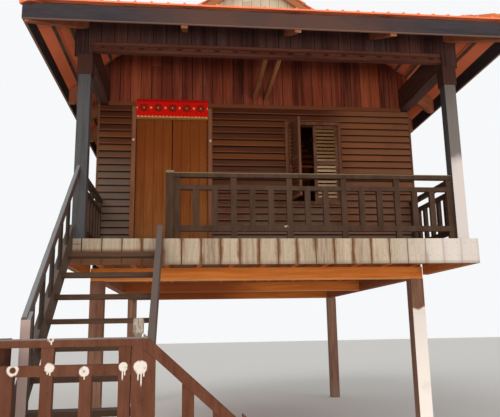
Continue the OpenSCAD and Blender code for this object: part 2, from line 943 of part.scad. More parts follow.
// Boarded gable end with a middle strip, and the two verge boards in front of it
module front_gablet() {
    z0 = front_z(gablet_y);
    z1 = front_z(verge_y + verge_t) + roof_t + seat;
    s = gablet_strip / 2;
    y = gablet_y;
    elevation(y, y + gablet_t) polygon([[-side_x(z0), z0], [side_x(z0), z0], [0, ridge_z]]);
    elevation(y - gablet_strip_t, y + e)
    polygon([[-s, z0 + roof_t + seat], [s, z0 + roof_t + seat], [s, side_z(s)], [0, ridge_z], [-s, side_z(s)]]);
    both_sides() elevation(verge_y, verge_y + verge_t)
    polygon([[side_x(z1), z1], [seat, side_z(seat)], [seat, ridge_z - verge_h],
             [side_x(z1) - verge_h / ts, z1]]);
}

module gablets() {
    color("#c9b48a") place() {
        front_gablet();
        rear_copy() front_gablet();
    }
}

// Round bar from point a to point b
module bar(a, b) {
    d = b - a;
    translate(a) rotate([0, acos(d[2] / norm(d)), atan2(d[1], d[0])]) cylinder(r = cap_r, h = norm(d));
}

// Round cap over the right front hip, cut to both slopes
module hip_cap() {
    y0 = fy0 - lip;
    z = roof_t - cap_drop;
    dy = layer_over;
    difference() {
        intersection() {
            bar([hip_x(y0 - dy), y0 - dy, front_z(y0 - dy) + z],
                [hip_x(verge_y + dy), verge_y + dy, front_z(verge_y + dy) + z]);
            box(0, fx + lip, y0, verge_y, 0, far);
        }
        intersection() {
            side_layer(-far, roof_t + seat);
            front_layer(-far, roof_t + seat);
        }
    }
}

module ridge_cap() {
    z = ridge_z + roof_t - cap_drop;
    difference() {
        bar([0, verge_y, z], [0, 2 * y_mid_roof - verge_y, z]);
        both_sides() side_layer(-far, roof_t + seat);
    }
}

module ridge_and_hip_caps() {
    color("#963c26") place() {
        both_sides() {
            hip_cap();
            rear_copy() hip_cap();
        }
        ridge_cap();
    }
}

module fascia_boards() {
    top = eave_z + 2 * fascia_t;
    color("#3b3536") place() difference() {
        box(-fx, fx, fy0, fy1, fascia_z, top);
        box(-fx + fascia_t, fx - fascia_t, fy0 + fascia_t, fy1 - fascia_t, fascia_z - e, top + e);
        both_sides() side_layer(0, 3 * fascia_t);
        front_layer(0, 3 * fascia_t);
        rear_copy() front_layer(0, 3 * fascia_t);
    }
}

// Three rafters under the front slope, back to y1 or to the hip, grown by g
module front_rafters(y1, g = 0) {
    hv = rafter_h / cos(front_pitch) + g;
    w = rafter_t / 2;
    y0 = fy0 + fascia_t;
    for (k = rafter_at)
        let (x = k * px, y = min(y1, fy0 + (fx - abs(x) - w - hip_half - seat) / hip_ratio))
        profile(x - w - g, x + w + g)
        polygon([[y0, front_z(y0) + g], [y0, front_z(y0) - hv], [y, front_z(y) - hv], [y, front_z(y) + g]]);
}

// Hip rafter on the right, from the front corner back to y1, grown by g and bevelled to both slopes
module hip_rafter(y1, g = 0) {
    w = rafter_t / 2 + g;
    hv = rafter_h / cos(front_pitch) + g;
    d = y1 + rafter_t - fy0;
    run = d * norm([hip_ratio, 1]);
    rise = d * tf;
    intersection() {
        translate([fx, fy0, eave_z]) rotate([0, 0, 90 + atan(hip_ratio)]) rotate([90, 0, 0])
        translate([0, 0, -w]) linear_extrude(2 * w) polygon([[0, -hv], [run, rise - hv], [run, rise + w], [0, w]]);
        side_layer(-far, g);
        front_layer(-far, g);
        box(0, fx - fascia_t, fy0 + fascia_t, y1, 0, far);
    }
}

// Rafter under the right side slope at y, from x0 down to the fascia and notched over the plate
module side_rafter(y, x0) {
    hv = rafter_h / cos(side_pitch);
    x1 = fx - fascia_t;
    difference() {
        elevation(y - rafter_t / 2, y + rafter_t / 2)
        polygon([[x0, side_z(x0)], [x0, side_z(x0) - hv], [x1, side_z(x1) - hv], [x1, side_z(x1)]]);
        box(plate_x0 - far, plate_x0 + plate_w + seat, y - far, y + far, plate_z, plate_top + seat);
        box(x0 - e, x1 + e, y - far, y + far, 0, fascia_z);
    }
}

module roof_rafters() {
    w = rafter_t / 2;
    t = ridge_board_t / 2;
    // rafter pairs between the gablets, then two short rafters to each rear hip
    first = gablet_y + gablet_t + w;
    last = 2 * y_mid_roof - first;
    short_step = (yr - upper_wall_t - w - last) / 2;
    head = front_z(gablet_y) - seat;
    color("#7d4a2c") place() {
        front_rafters(yf);
        both_sides() {
            hip_rafter(yf);
            for (i = [0 : side_rafters - 1])
                side_rafter(first + (last - first) * i / (side_rafters - 1), t + seat);
            for (i = [1, 2])
                let (y = last + i * short_step)
                side_rafter(y, hip_x(2 * y_mid_roof - y - w) + hip_half + seat);
        }
        rear_copy() {
            front_rafters(gablet_y - seat);
            both_sides() hip_rafter(gablet_y - seat);
            // header under the rear gablet
            elevation(gablet_y, gablet_y + gablet_t - seat)
            polygon([[-side_x(head), head], [-side_x(head), head - rafter_h], [side_x(head), head - rafter_h],
                     [side_x(head), head]]);
        }
        // ridge board
        elevation(gablet_y + gablet_t, 2 * y_mid_roof - gablet_y - gablet_t)
        polygon([[-t, side_z(t) - ridge_board_h], [t, side_z(t) - ridge_board_h], [t, side_z(t)], [0, ridge_z],
                 [-t, side_z(t)]]);
    }
}

ground_posts();
floor_girders();
side_beams();
floor_joists();
house_floor();
veranda_deck();
deck_skirt();
veranda_posts();
front_balustrade();
side_balustrades();
wall_left_of_door();
wall_over_door();
wall_right_of_door();
upper_front_wall();
left_wall();
right_wall();
rear_wall();
upper_rear_wall();
side_plates();
front_tie_beam();
front_frieze();
ceiling_ties();
door_frame();
door_leaf_left();
door_leaf_right();
door_banner();
window_frame();
open_window_leaf();
closed_window_leaf();
stair_stringers();
stair_treads();
stair_handrail();
landing();
landing_balustrade();
lower_stringers();
lower_treads();
lower_handrail();
left_roof_slope();
right_roof_slope();
front_roof_slope();
rear_roof_slope();
gablets();
ridge_and_hip_caps();
fascia_boards();
roof_rafters();
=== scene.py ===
import math
import random

import bmesh
import bpy
from mathutils import Matrix, Vector


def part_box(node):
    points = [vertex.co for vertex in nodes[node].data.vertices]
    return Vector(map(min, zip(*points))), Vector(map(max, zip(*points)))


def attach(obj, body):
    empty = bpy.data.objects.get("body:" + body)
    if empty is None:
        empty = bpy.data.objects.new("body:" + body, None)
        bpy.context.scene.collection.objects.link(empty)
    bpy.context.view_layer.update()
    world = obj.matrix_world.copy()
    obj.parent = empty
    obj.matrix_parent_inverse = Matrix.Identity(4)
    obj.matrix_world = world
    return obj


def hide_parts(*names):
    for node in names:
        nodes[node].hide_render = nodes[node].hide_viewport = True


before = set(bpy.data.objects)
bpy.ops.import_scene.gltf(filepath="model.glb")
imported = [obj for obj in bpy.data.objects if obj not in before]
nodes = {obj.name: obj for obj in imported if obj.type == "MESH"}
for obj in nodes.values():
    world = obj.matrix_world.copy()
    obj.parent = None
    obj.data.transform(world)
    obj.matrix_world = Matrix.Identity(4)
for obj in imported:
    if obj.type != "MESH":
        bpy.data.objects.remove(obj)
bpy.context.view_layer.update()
random.seed(7)

# Ground posts
# Four square hardwood posts that stand on the ground and carry the girders.
# The foot of each is paler where rain splashes it, and the front right one is painted with sunlight on its
# front face.

splash_height = 0.5
sunlit_height = 1.72


def adjust(thing, **settings):
    """Gives a thing its settings."""
    for name, value in settings.items():
        setattr(thing, name, value)
    return thing


def joined_by(operation):
    """How a value is joined to another one by a Math node."""
    return lambda value, other: value.pattern.math(operation, value, other)


class Value:
    """What a node puts out. Arithmetic and comparisons with it add Math nodes."""

    __add__ = joined_by("ADD")
    __sub__ = joined_by("SUBTRACT")
    __mul__ = joined_by("MULTIPLY")
    __truediv__ = joined_by("DIVIDE")
    __pow__ = joined_by("POWER")
    __gt__ = joined_by("GREATER_THAN")
    __lt__ = joined_by("LESS_THAN")

    def __init__(self, pattern, socket):
        self.pattern = pattern
        self.socket = socket

    def __rsub__(self, other):
        return self.pattern.math("SUBTRACT", other, self)

    def __abs__(self):
        return self.pattern.math("ABSOLUTE", self)

    def spread(self, low, high, to_low=0.0, to_high=1.0):
        """Stretches the range low to high smoothly over another range."""
        inputs = enumerate((self, low, high, to_low, to_high))
        return self.pattern.node("MapRange", inputs, interpolation_type="SMOOTHSTEP")[0]


class Pattern:
    """A node tree that is built up by short calls."""

    def __init__(self, tree):
        self.tree = tree

    def set(self, socket, value):
        """Feeds an input with a value of the tree, or with a plain number, vector or colour."""
        if isinstance(value, Value):
            self.tree.links.new(value.socket, socket)
        elif socket.type == "RGBA":
            socket.default_value = (*value, 1)
        else:
            socket.default_value = value

    def values(self, node):
        """What a node puts out, by name and by number."""
        found = {}
        for number, socket in enumerate(node.outputs):
            found[number] = found[socket.name] = Value(self, socket)
        return found

    def node(self, kind, inputs=(), **settings):
        """Adds a node with its settings and inputs, and gives its values."""
        made = adjust(self.tree.nodes.new("ShaderNode" + kind), **settings)
        for name, value in dict(inputs).items():
            self.set(made.inputs[name], value)
        return self.values(made)

    def math(self, operation, *values):
        """What a Math node makes of its values."""
        return self.node("Math", enumerate(values), operation=operation)[0]

    def mix(self, share, first, second):
        """Mixes two colours by a share."""
        return self.node("Mix", {0: share, 6: first, 7: second}, data_type="RGBA")[2]

    def noise(self, vector, scale, detail, roughness=0.55):
        """The value of a noise pattern."""
        inputs = {"Vector": vector, "Scale": scale, "Detail": detail, "Roughness": roughness}
        return self.node("TexNoise", inputs)[0]

    def facing(self):
        """The X, Y and Z of the way that the surface looks."""
        return self.node("SeparateXYZ", {0: self.node("NewGeometry")["Normal"]})


def new_group(name, inputs, outputs):
    """An empty shader group: its pattern, the values it is given and the sockets it puts out."""
    group = bpy.data.node_groups.new(name, "ShaderNodeTree")
    for side, sockets in (("INPUT", inputs), ("OUTPUT", outputs)):
        for label, kind in sockets.items():
            group.interface.new_socket(label, in_out=side, socket_type="NodeSocket" + kind)
    pattern = Pattern(group)
    given = pattern.values(group.nodes.new("NodeGroupInput"))
    return pattern, given, group.nodes.new("NodeGroupOutput").inputs


def make_wood_group():
    """Old sawn wood: streaks along the grain, a tone of its own for each board, grey weathering."""
    wood, given, result = new_group(
        "old wood",
        {"Grain": "Vector", "Light": "Color", "Dark": "Color", "Grey": "Color", "Board": "Float",
         "Weather": "Float"},
        {"Color": "Color", "Roughness": "Float", "Height": "Float"},
    )
    streaks = wood.noise(given["Grain"], 1.0, 6, 0.62).spread(0.33, 0.68)
    fibres = wood.noise(given["Grain"], 4.5, 4, 0.7)
    patches = wood.noise(given["Grain"], 0.16, 3).spread(0.38, 0.64)
    tone = streaks * 0.42 - 0.05 + patches * 0.2 + given["Board"] * 0.5
    worn = (patches + streaks) * given["Weather"]
    colour = wood.mix(worn, wood.mix(tone, given["Dark"], given["Light"]), given["Grey"])
    dark_fibre = fibres.spread(0.30, 0.46, 0.72, 1.0)
    wood.set(result["Color"], wood.node("VectorMath", {0: colour, "Scale": dark_fibre}, operation="SCALE")[0])
    wood.set(result["Roughness"], fibres.spread(0.2, 0.8, 0.86, 0.62))
    wood.set(result["Height"], streaks * 0.5 + fibres)
    return wood.tree


def make_rows_group():
    """Rows of boards: a random tone for each board, the place across it and a mask for the seams."""
    rows, given, result = new_group(
        "board rows",
        dict.fromkeys(("Across", "Along", "Start", "Pitch", "Length", "Seam"), "Float"),
        dict.fromkeys(("Board", "Place", "Seam"), "Float"),
    )
    count = (given["Across"] - given["Start"]) / given["Pitch"]
    row = rows.math("FLOOR", count)
    place = rows.math("FRACT", count)
    shift = rows.node("TexWhiteNoise", {"W": row + 3.7}, noise_dimensions="1D")["Value"]
    piece = given["Along"] / given["Length"] + shift * 9.0
    pair = rows.node("CombineXYZ", {0: row, 1: rows.math("FLOOR", piece)})[0]
    rows.set(result["Board"], rows.node("TexWhiteNoise", {"Vector": pair}, noise_dimensions="2D")["Value"])
    rows.set(result["Place"], place)
    # distance to the nearer long edge and to the butt end, in metres, against the seam's half width
    edge = (0.5 - abs(place - 0.5)) * given["Pitch"]
    butt = rows.math("FRACT", piece) * given["Length"]
    rows.set(result["Seam"], rows.math("MAXIMUM", edge < given["Seam"], butt < given["Seam"]))
    return rows.tree


def make_lit_faces_group():
    """Faces with painted light: a painted skylight highlight on those that look up, and painted sunlight on
    those that look forwards at the right-hand side.
    """
    lit_faces, given, result = new_group("painted light on faces", {"Place": "Vector", "Strength": "Float"},
                                       {"Up": "Float", "Forward": "Float"})
    facing = lit_faces.facing()
    uneven = lit_faces.noise(given["Place"], 1.6, 3, 0.5).spread(0.25, 0.5, 0.7, 1.0) * given["Strength"]
    right = lit_faces.node("SeparateXYZ", {0: given["Place"]})["X"].spread(1.2, 2.1)
    # painted skylight highlight on faces that look up, painted sunlight on right-hand faces that look
    # forwards
    lit_faces.set(result["Up"], facing["Z"].spread(0.35, 0.65) * uneven)
    lit_faces.set(result["Forward"], (facing["Y"] < -0.5) * right * uneven)
    return lit_faces.tree


wood_group = make_wood_group()
rows_group = make_rows_group()
lit_faces_group = make_lit_faces_group()


class Finish(Pattern):
    """A material whose colour can be worked on before it is joined to the shader."""

    def __init__(self, name, colour=None):
        self.material = adjust(bpy.data.materials.new(name), use_nodes=True)
        super().__init__(self.material.node_tree)
        self.shader = self.tree.nodes["Principled BSDF"].inputs
        self.place = self.node("TexCoord")["Object"]
        axes = self.node("SeparateXYZ", {0: self.place})
        self.x, self.y, self.z = axes["X"], axes["Y"], axes["Z"]
        self.colour = colour

    def stretched(self, scale):
        """The place on the object, with a scale of its own for each axis."""
        return self.node("Mapping", {"Vector": self.place, "Scale": scale})[0]

    def cover(self, share, colour):
        """Lays another colour over the surface where share is 1."""
        self.colour = self.mix(share, self.colour, colour)

    def relief(self, height, depth, strength=1.0):
        """Raises the surface by a pattern."""
        bump = self.node("Bump", {"Height": height, "Distance": depth, "Strength": strength})
        self.set(self.shader["Normal"], bump[0])

    def up_to(self, height, fade):
        """A mask of what lies below a height, with an uneven edge."""
        reach = 0.12
        rough = self.noise(self.place, 2.2, 3, 0.6) * (reach * 4)
        top = height + reach * 2
        return (self.z + rough).spread(top + fade, top)

    def paint_lit_faces(self, side, colour, strength, within=None):
        """Paints light as a paler colour on the faces that look Up, or Forward at the right-hand side,
        unevenly and within a mask.
        """
        lit_faces = self.node("Group", enumerate((self.place, strength)), node_tree=lit_faces_group)[side]
        self.cover(lit_faces * within if within else lit_faces, colour)

    def done(self, values=()):
        """Joins the colour and other values to the shader and gives the finished material."""
        self.set(self.shader["Base Color"], self.colour)
        for name, value in dict(values).items():
            self.set(self.shader[name], value)
        return self.material

    def dress(self, *names):
        """Finishes the material and puts it on CAD nodes that keep their shape."""
        self.done()
        for name in names:
            for slot in nodes[name].material_slots:
                slot.material = self.material


class Wood(Finish):
    """Old wood, with its grain along the axis that has the small scale."""

    def __init__(self, name, light, dark, grain, weather, grey=(0.24, 0.20, 0.17)):
        super().__init__(name)
        inputs = enumerate((self.stretched(grain), light, dark, grey, 0.5, weather))
        wood = self.node("Group", inputs, node_tree=wood_group)
        self.board_tone = wood["Color"].socket.node.inputs["Board"]
        self.colour = wood["Color"]
        self.relief(wood["Height"], 0.003, 0.6)
        self.set(self.shader["Roughness"], wood["Roughness"])
        self.set(self.shader["Specular IOR Level"], 0.15)

    def rows(self, across, along, start, pitch, length=3.0, seam=0.004, seam_colour=(0.02, 0.012, 0.01)):
        """Gives each board of a row its own tone and darkens the seams; gives what the rows put out."""
        inputs = enumerate((across, along, start, pitch, length, seam))
        rows = self.node("Group", inputs, node_tree=rows_group)
        self.set(self.board_tone, rows["Board"])
        self.cover(rows["Seam"], seam_colour)
        return rows


along_x, along_y, along_z = (1.3, 26, 26), (26, 1.3, 26), (26, 26, 1.3)

posts = Wood("ground post wood", (0.30, 0.14, 0.085), (0.13, 0.045, 0.026), along_z, 0.2, (0.36, 0.26, 0.20))
posts.cover(posts.z.spread(0.0, splash_height, 0.6, 0.0), (0.30, 0.20, 0.15))
# painted sunlight on the front face of the front right post, below a ragged line
sunlit_front = (posts.y < 0.0) * posts.up_to(sunlit_height, 0.05)
posts.paint_lit_faces("Forward", (0.95, 0.87, 0.80), 1.0, sunlit_front)
posts.dress("ground_posts")

# Floor frame
# Sawn girders, side beams and joists under the floor, of bare orange-brown hardwood.
# The joists lie on the girders and run from the skirt to the rear wall.

girder_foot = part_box("floor_girders")[0][2]
lit_edge = 0.02

beams = Wood("girder wood", (0.94, 0.31, 0.060), (0.48, 0.115, 0.018), along_x, 0.03)
# a painted strip of light along the girders' lower edge
beams.cover(beams.z.spread(girder_foot, girder_foot + lit_edge, 0.55, 0.0), (0.86, 0.45, 0.20))
# the girders behind are darker towards the left
shaded_left = (beams.y > 0.0) * beams.x.spread(0.5, -0.5, 0.15, 0.8)
beams.cover(shaded_left, (0.20, 0.045, 0.016))
beams.dress("floor_girders")
joist_wood = Wood("joist wood", (0.74, 0.25, 0.055), (0.38, 0.10, 0.02), along_y, 0.03)
joist_wood.dress("floor_joists")
Wood("side beam wood", (0.42, 0.12, 0.035), (0.18, 0.045, 0.018), along_y, 0.05).dress("side_beams")

# Floor boards
# Planed boards nailed across the joists, in the house and on the veranda.
# They replace the two plain floor plates, board by board, with open joints.

board_width = 0.146
board_gap = 0.004
wall_depth = 0.1
strip = 0.025


def row_pitch(low, high, width):
    """Width of a board when a whole number of them fills the row."""
    return (high - low) / max(1, round((high - low) / width))


def mesh_of(bm, name):
    """The mesh that a bmesh makes; the bmesh is freed."""
    mesh = bpy.data.meshes.new(name)
    bm.to_mesh(mesh)
    bm.free()
    return mesh


def add_object(name, data):
    """A new object of the scene."""
    made = bpy.data.objects.new(name, data)
    bpy.context.scene.collection.objects.link(made)
    return made


def new_piece(name, material, bm, replaced=None):
    """Turns a bmesh into a piece that rides on the house, in the place of a node where one is named."""
    bmesh.ops.recalc_face_normals(bm, faces=bm.faces)
    piece = add_object(name, mesh_of(bm, name))
    piece.data.materials.append(material)
    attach(piece, "house")
    if replaced:
        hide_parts(replaced)
    return piece


def edges_of(verts):
    """The edges that meet in some vertices, in a fixed order."""
    return list(dict.fromkeys(edge for vert in verts for edge in vert.link_edges))


def bevel(bm, edges, offset, segments=1):
    """Eases some edges."""
    bmesh.ops.bevel(bm, geom=edges, offset=offset, segments=segments, affect="EDGES", profile=0.5,
                    material=-1)


def add_board(bm, low, high, edge=0.002):
    """A board between two corners, with its edges eased."""
    middle = [(a + b) / 2 for a, b in zip(low, high)]
    size = [b - a for a, b in zip(low, high)]
    place = Matrix.Translation(middle) @ Matrix.Diagonal((*size, 1))
    bevel(bm, edges_of(bmesh.ops.create_cube(bm, size=1, matrix=place)["verts"]), edge)


def add_floor(bm, low, high):
    """Boards side by side from front to back between two corners, each a little out of level."""
    pitch = row_pitch(low[1], high[1], board_width)
    for row in range(round((high[1] - low[1]) / pitch)):
        sunk = random.uniform(0, 0.002)
        add_board(bm, (low[0], low[1] + row * pitch + board_gap / 2, low[2]),
                  (high[0], low[1] + (row + 1) * pitch - board_gap / 2, high[2] - sunk))


deck_low, deck_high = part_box("veranda_deck")
deck_boards = bmesh.new()
add_floor(deck_boards, deck_low, deck_high)
deck_wood = Wood("deck board wood", (0.42, 0.33, 0.25), (0.20, 0.14, 0.10), along_x, 0.4)
deck_wood.rows(deck_wood.y, deck_wood.x, deck_low[1], row_pitch(deck_low[1], deck_high[1], board_width))
new_piece("veranda_boards", deck_wood.done(), deck_boards, "veranda_deck")

room_low, room_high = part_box("house_floor")
behind_wall = room_low[1] + wall_depth
inner = room_high[0] - (wall_depth - strip)
room_boards = bmesh.new()
add_floor(room_boards, room_low, (room_high[0], behind_wall, room_high[2]))
add_floor(room_boards, (-inner, behind_wall, room_low[2]), (inner, room_high[1], room_high[2]))
room_wood = Wood("room board wood", (0.46, 0.16, 0.05), (0.22, 0.065, 0.022), along_x, 0.08)
room_wood.rows(room_wood.y, room_wood.x, behind_wall, board_width)
new_piece("house_boards", room_wood.done(), room_boards, "house_floor")

# Skirt boards
# Short upright boards nailed round the edge of the veranda, bleached by sun and rain, and painted with
# sunlight on the right-hand front.
# Brown water stains run down along their joints, and two nails hold each board to the rim at each height.

skirt_width = 0.217
skirt_thick = 0.03
rim_thick = 0.044
nail_shares = (0.28, 0.72)
nail_drops = (0.05, 0.20)
nail_radius = 0.006
nail_thick = 0.003
skirt_low, skirt_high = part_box("deck_skirt")
front_board = row_pitch(skirt_low[0], skirt_high[0], skirt_width)
side_board = row_pitch(skirt_low[1], skirt_high[1], skirt_width)

skirt = Wood("skirt board wood", (0.54, 0.43, 0.31), (0.21, 0.135, 0.082), (38, 38, 2.2), 0.35,
             (0.40, 0.33, 0.25))
# the front boards are counted along X, the side boards along Y
on_side = abs(skirt.facing()["X"]) > 0.5
side_across = (skirt.y - skirt_low[1]) * (front_board / side_board) + skirt_low[0]
counted = (1.0 - on_side) * skirt.x + on_side * side_across
skirt_rows = skirt.rows(counted, skirt.z, skirt_low[0], front_board, length=5, seam=0.006,
                        seam_colour=(0.05, 0.028, 0.018))
runs = skirt.noise(skirt.stretched((22, 22, 5)), 1.0, 4, 0.65)
near_joint = abs(skirt_rows["Place"] - 0.5) + runs * 0.35
patchy = skirt.noise(skirt.place, 2.6, 2).spread(0.40, 0.58, 0.1, 0.95)
skirt.cover(near_joint.spread(0.48, 0.66) * patchy, (0.15, 0.062, 0.024))
# painted sunlight on the front boards at the right-hand side
skirt.paint_lit_faces("Forward", (0.74, 0.69, 0.66), 0.62)
# under the stair's top tread the boards are painted with its shadow
at_stair = skirt.x.spread(-1.20, -1.36)
tread_shadow = skirt.z.spread(skirt_high[2] - 0.10, skirt_high[2] - 0.15, 0.0, 0.9)
skirt.cover(at_stair * tread_shadow, (0.16, 0.050, 0.015))
wet_foot = skirt.z.spread(skirt_low[2] + 0.05, skirt_low[2], 0.0, 0.5)
skirt.cover(wet_foot, (0.16, 0.11, 0.08))
skirt.dress("deck_skirt")

# a sawn rim board on edge behind the side boards, which they are nailed to
rims = bmesh.new()
for side in (-1, 1):
    outer = side * (skirt_high[0] - skirt_thick)
    across = sorted((outer, outer - side * rim_thick))
    add_board(rims, (across[0], skirt_low[1] + skirt_thick + 0.001, skirt_low[2] + 0.002),
              (across[1], skirt_high[1], deck_low[2] - 0.0005))
new_piece("side_rims", joist_wood.material, rims)


def add_nails(bm, place, axis):
    """Round nail heads, low and domed, at each height of a board whose face an axis lies along."""
    turn = Matrix.Rotation(math.radians(90), 4, axis)
    for drop in nail_drops:
        matrix = Matrix.Translation((*place, skirt_high[2] - drop)) @ turn
        bmesh.ops.create_cone(bm, segments=8, radius1=nail_radius, radius2=nail_radius / 2, depth=nail_thick,
                              cap_ends=True, matrix=matrix)


def nail_places(low, high, pitch):
    """Where the nails are along a row of boards, two to a board."""
    for board in range(round((high - low) / pitch)):
        for share in nail_shares:
            yield low + (board + share) * pitch + random.uniform(-0.01, 0.01)


nails = bmesh.new()
sunk_in = 0.0005
for along in nail_places(skirt_low[0], skirt_high[0], front_board):
    add_nails(nails, (along, skirt_low[1] + sunk_in), "X")
for side in (-1, 1):
    for along in nail_places(skirt_low[1], skirt_high[1], side_board):
        add_nails(nails, (side * (skirt_high[0] - sunk_in), along), "Y")
iron = Finish("rusty iron")
rust = iron.noise(iron.place, 60, 5).spread(0.4, 0.6)
iron.colour = iron.mix(rust, (0.05, 0.045, 0.045), (0.16, 0.06, 0.03))
iron_material = iron.done({"Roughness": rust.spread(0, 1, 0.45, 0.85),
                           "Metallic": rust.spread(0, 1, 0.8, 0.1)})
new_piece("skirt_nails", iron_material, nails)

# Veranda posts
# Square posts from the deck to the side plates, with a wider head block painted dark brown, partly as painted
# shade under the eaves.
# Below it the wood is blue-grey, and the right-hand post is painted with sunlight in front, palest low down.

head_height = 0.24
sunlit_post_height = 3.38
post_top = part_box("veranda_posts")[1][2]

roof_posts = Wood("veranda post wood", (0.105, 0.098, 0.095), (0.035, 0.035, 0.038), along_z, 0.3,
                  (0.085, 0.085, 0.09))
# painted sunlight on the front of the right-hand post, paler still below a ragged line
roof_posts.paint_lit_faces("Forward", (0.17, 0.145, 0.13), 0.8)
roof_posts.paint_lit_faces("Forward", (0.60, 0.53, 0.50), 0.95, roof_posts.up_to(sunlit_post_height, 0.22))
# the head block is painted dark brown, partly as painted shade under the eaves
roof_posts.cover(roof_posts.z > post_top - head_height - 0.001, (0.060, 0.026, 0.020))
roof_posts.dress("veranda_posts")

# Veranda balustrades
# Flat balusters between a second rail and a foot rail, under a broad handrail.
# The dark grey-brown wood is worn on the handrail's upper edge and rubbed bare in spots at the foot rail.

rail_low, rail_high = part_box("front_balustrade")
handrail_top = rail_high[2] - 0.02

rails = Wood("balustrade wood", (0.075, 0.036, 0.020), (0.032, 0.016, 0.010), (16, 16, 3.5), 0.2,
             (0.072, 0.046, 0.033))
upper_edge = rails.z.spread(handrail_top - 0.014, handrail_top - 0.002, 0.0, 0.8)
rails.cover(upper_edge, (0.22, 0.17, 0.095))
bare = rails.noise(rails.place, 7.0, 3, 0.6).spread(0.66, 0.70, 0.0, 0.7)
low_down = rails.z.spread(rail_low[2] + 0.28, rail_low[2] + 0.16)
rails.cover(bare * low_down, (0.58, 0.49, 0.38))
rails.dress("front_balustrade", "side_balustrades")

# Weatherboard walls
# Lapped boards on studs, red-brown under the eaves and washed grey-brown lower down.
# Dark brown corner strips cover the boards' ends at the front and rear corners.

course = 0.099
wall_grey = (0.150, 0.100, 0.072)
front_low, front_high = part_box("wall_right_of_door")
side_low, side_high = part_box("right_wall")
floor_z = front_low[2]


def weatherboards(name, low, high, grain):
    """Lapped boards: a painted shadow under each lap, a painted highlight on each lower edge, grey wash
    towards the floor, painted sunlight at the right and painted eave shade at the upper left.
    """
    wall = Wood(name, (0.150, 0.044, 0.014), (0.050, 0.014, 0.005), grain, 0.08, wall_grey)
    along = wall.x if grain == along_x else wall.y
    rows = wall.rows(wall.z, along, low, row_pitch(low, high, course), length=2.6, seam=0.0)
    single_orange = rows["Board"].spread(0.78, 0.92, 0.0, 0.4)
    wall.cover(single_orange, (0.23, 0.072, 0.020))
    # painted sunlight on the right-hand part of the wall
    painted_sunlight_right = wall.x.spread(0.9, 1.5, 0.0, 0.6)
    wall.cover(painted_sunlight_right, (0.27, 0.105, 0.050))
    uneven = wall.noise(wall.place, 1.3, 4, 0.6).spread(0.3, 0.62)
    wall.cover(wall.z.spread(floor_z + 1.5, floor_z + 0.2, 0.0, 0.9) * uneven, wall_grey)
    left_wash = wall.x.spread(-1.6, -1.8, 0.0, 0.85) * wall.z.spread(floor_z + 1.7, floor_z + 1.0)
    wall.cover(left_wash, (0.115, 0.090, 0.072))
    near_floor = wall.z.spread(floor_z + 0.45, floor_z + 0.15, 0.0, 0.6)
    wall.cover(near_floor, (0.22, 0.17, 0.14))
    # painted shade of the eaves over the upper wall, left of the window
    eave_shade = wall.x.spread(1.4, 0.8) * wall.z.spread(floor_z + 1.5, floor_z + 2.1, 0.0, 0.55)
    wall.cover(eave_shade, (0.055, 0.010, 0.003))
    # a painted highlight along the lower edge of each board
    lit_lower_edge = rows["Place"].spread(0.04, 0.20, 0.55, 0.0)
    wall.cover(lit_lower_edge, (0.27, 0.090, 0.036))
    lap_shadow = rows["Place"].spread(0.66, 0.93, 0.0, 0.97)
    wall.cover(lap_shadow, (0.010, 0.005, 0.004))
    return wall


front_wall = weatherboards("front weatherboards", floor_z, front_high[2], along_x)
front_wall.dress("wall_left_of_door", "wall_right_of_door")
weatherboards("rear weatherboards", side_low[2], side_high[2], along_x).dress("rear_wall")
side_wall = weatherboards("side weatherboards", side_low[2], side_high[2], along_y)
middle_y = (side_low[1] + side_high[1]) / 2
at_corner = abs(side_wall.y - middle_y) > side_high[1] - middle_y - wall_depth - 0.002
side_wall.cover(at_corner, (0.13, 0.060, 0.035))
side_wall.dress("left_wall", "right_wall")

# Upright boards
# Boards of uneven colour close the front over the weatherboards and the rear under the slope.
# A trim board covers the joint to the weatherboards.

upright = 0.15


def upright_boards(name, row_of, light, dark, pale):
    """Upright boards with dark joints, counted along a node, some nearly black and some orange-brown."""
    low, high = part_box(row_of)
    wall = Wood(name, light, dark, along_z, 0.06)
    rows = wall.rows(wall.x, wall.z, low[0], row_pitch(low[0], high[0], upright), length=6, seam=0.0045)
    wall.cover(rows["Board"].spread(0.62, 0.9, 0.0, pale), (0.62, 0.19, 0.055))
    return wall


upper_wall = upright_boards("upright wall boards", "upper_front_wall", (0.31, 0.052, 0.020),
                            (0.050, 0.010, 0.006), 0.12)
trim = upper_wall.y < front_low[1] - 0.001
upper_wall.cover(trim, (0.16, 0.050, 0.022))
upper_wall.dress("upper_front_wall", "wall_over_door")
upright_boards("rear upright boards", "upper_front_wall", (0.26, 0.07, 0.03), (0.035, 0.012, 0.009),
               0.5).dress("upper_rear_wall")

# Plates, tie beam, frieze and ceiling ties
# The plates carry the slopes; the pierced tie beam joins the posts, and dark boards close the front over it.

upright_boards("frieze boards", "front_frieze", (0.062, 0.019, 0.016), (0.024, 0.010, 0.010),
               0.02).dress("front_frieze")
for name, node, light, dark, grain in (
    ("plate wood", "side_plates", (0.10, 0.032, 0.020), (0.04, 0.013, 0.010), along_y),
    ("tie beam wood", "front_tie_beam", (0.13, 0.034, 0.018), (0.045, 0.013, 0.009), along_x),
    ("ceiling tie wood", "ceiling_ties", (0.42, 0.16, 0.06), (0.2, 0.06, 0.022), along_y),
):
    Wood(name, light, dark, grain, 0.05).dress(node)

# Door
# Two leaves of upright planks on iron strap hinges, in a plain frame; the varnish has gone at the foot.

plank = 0.125
plank_depth = 0.0405

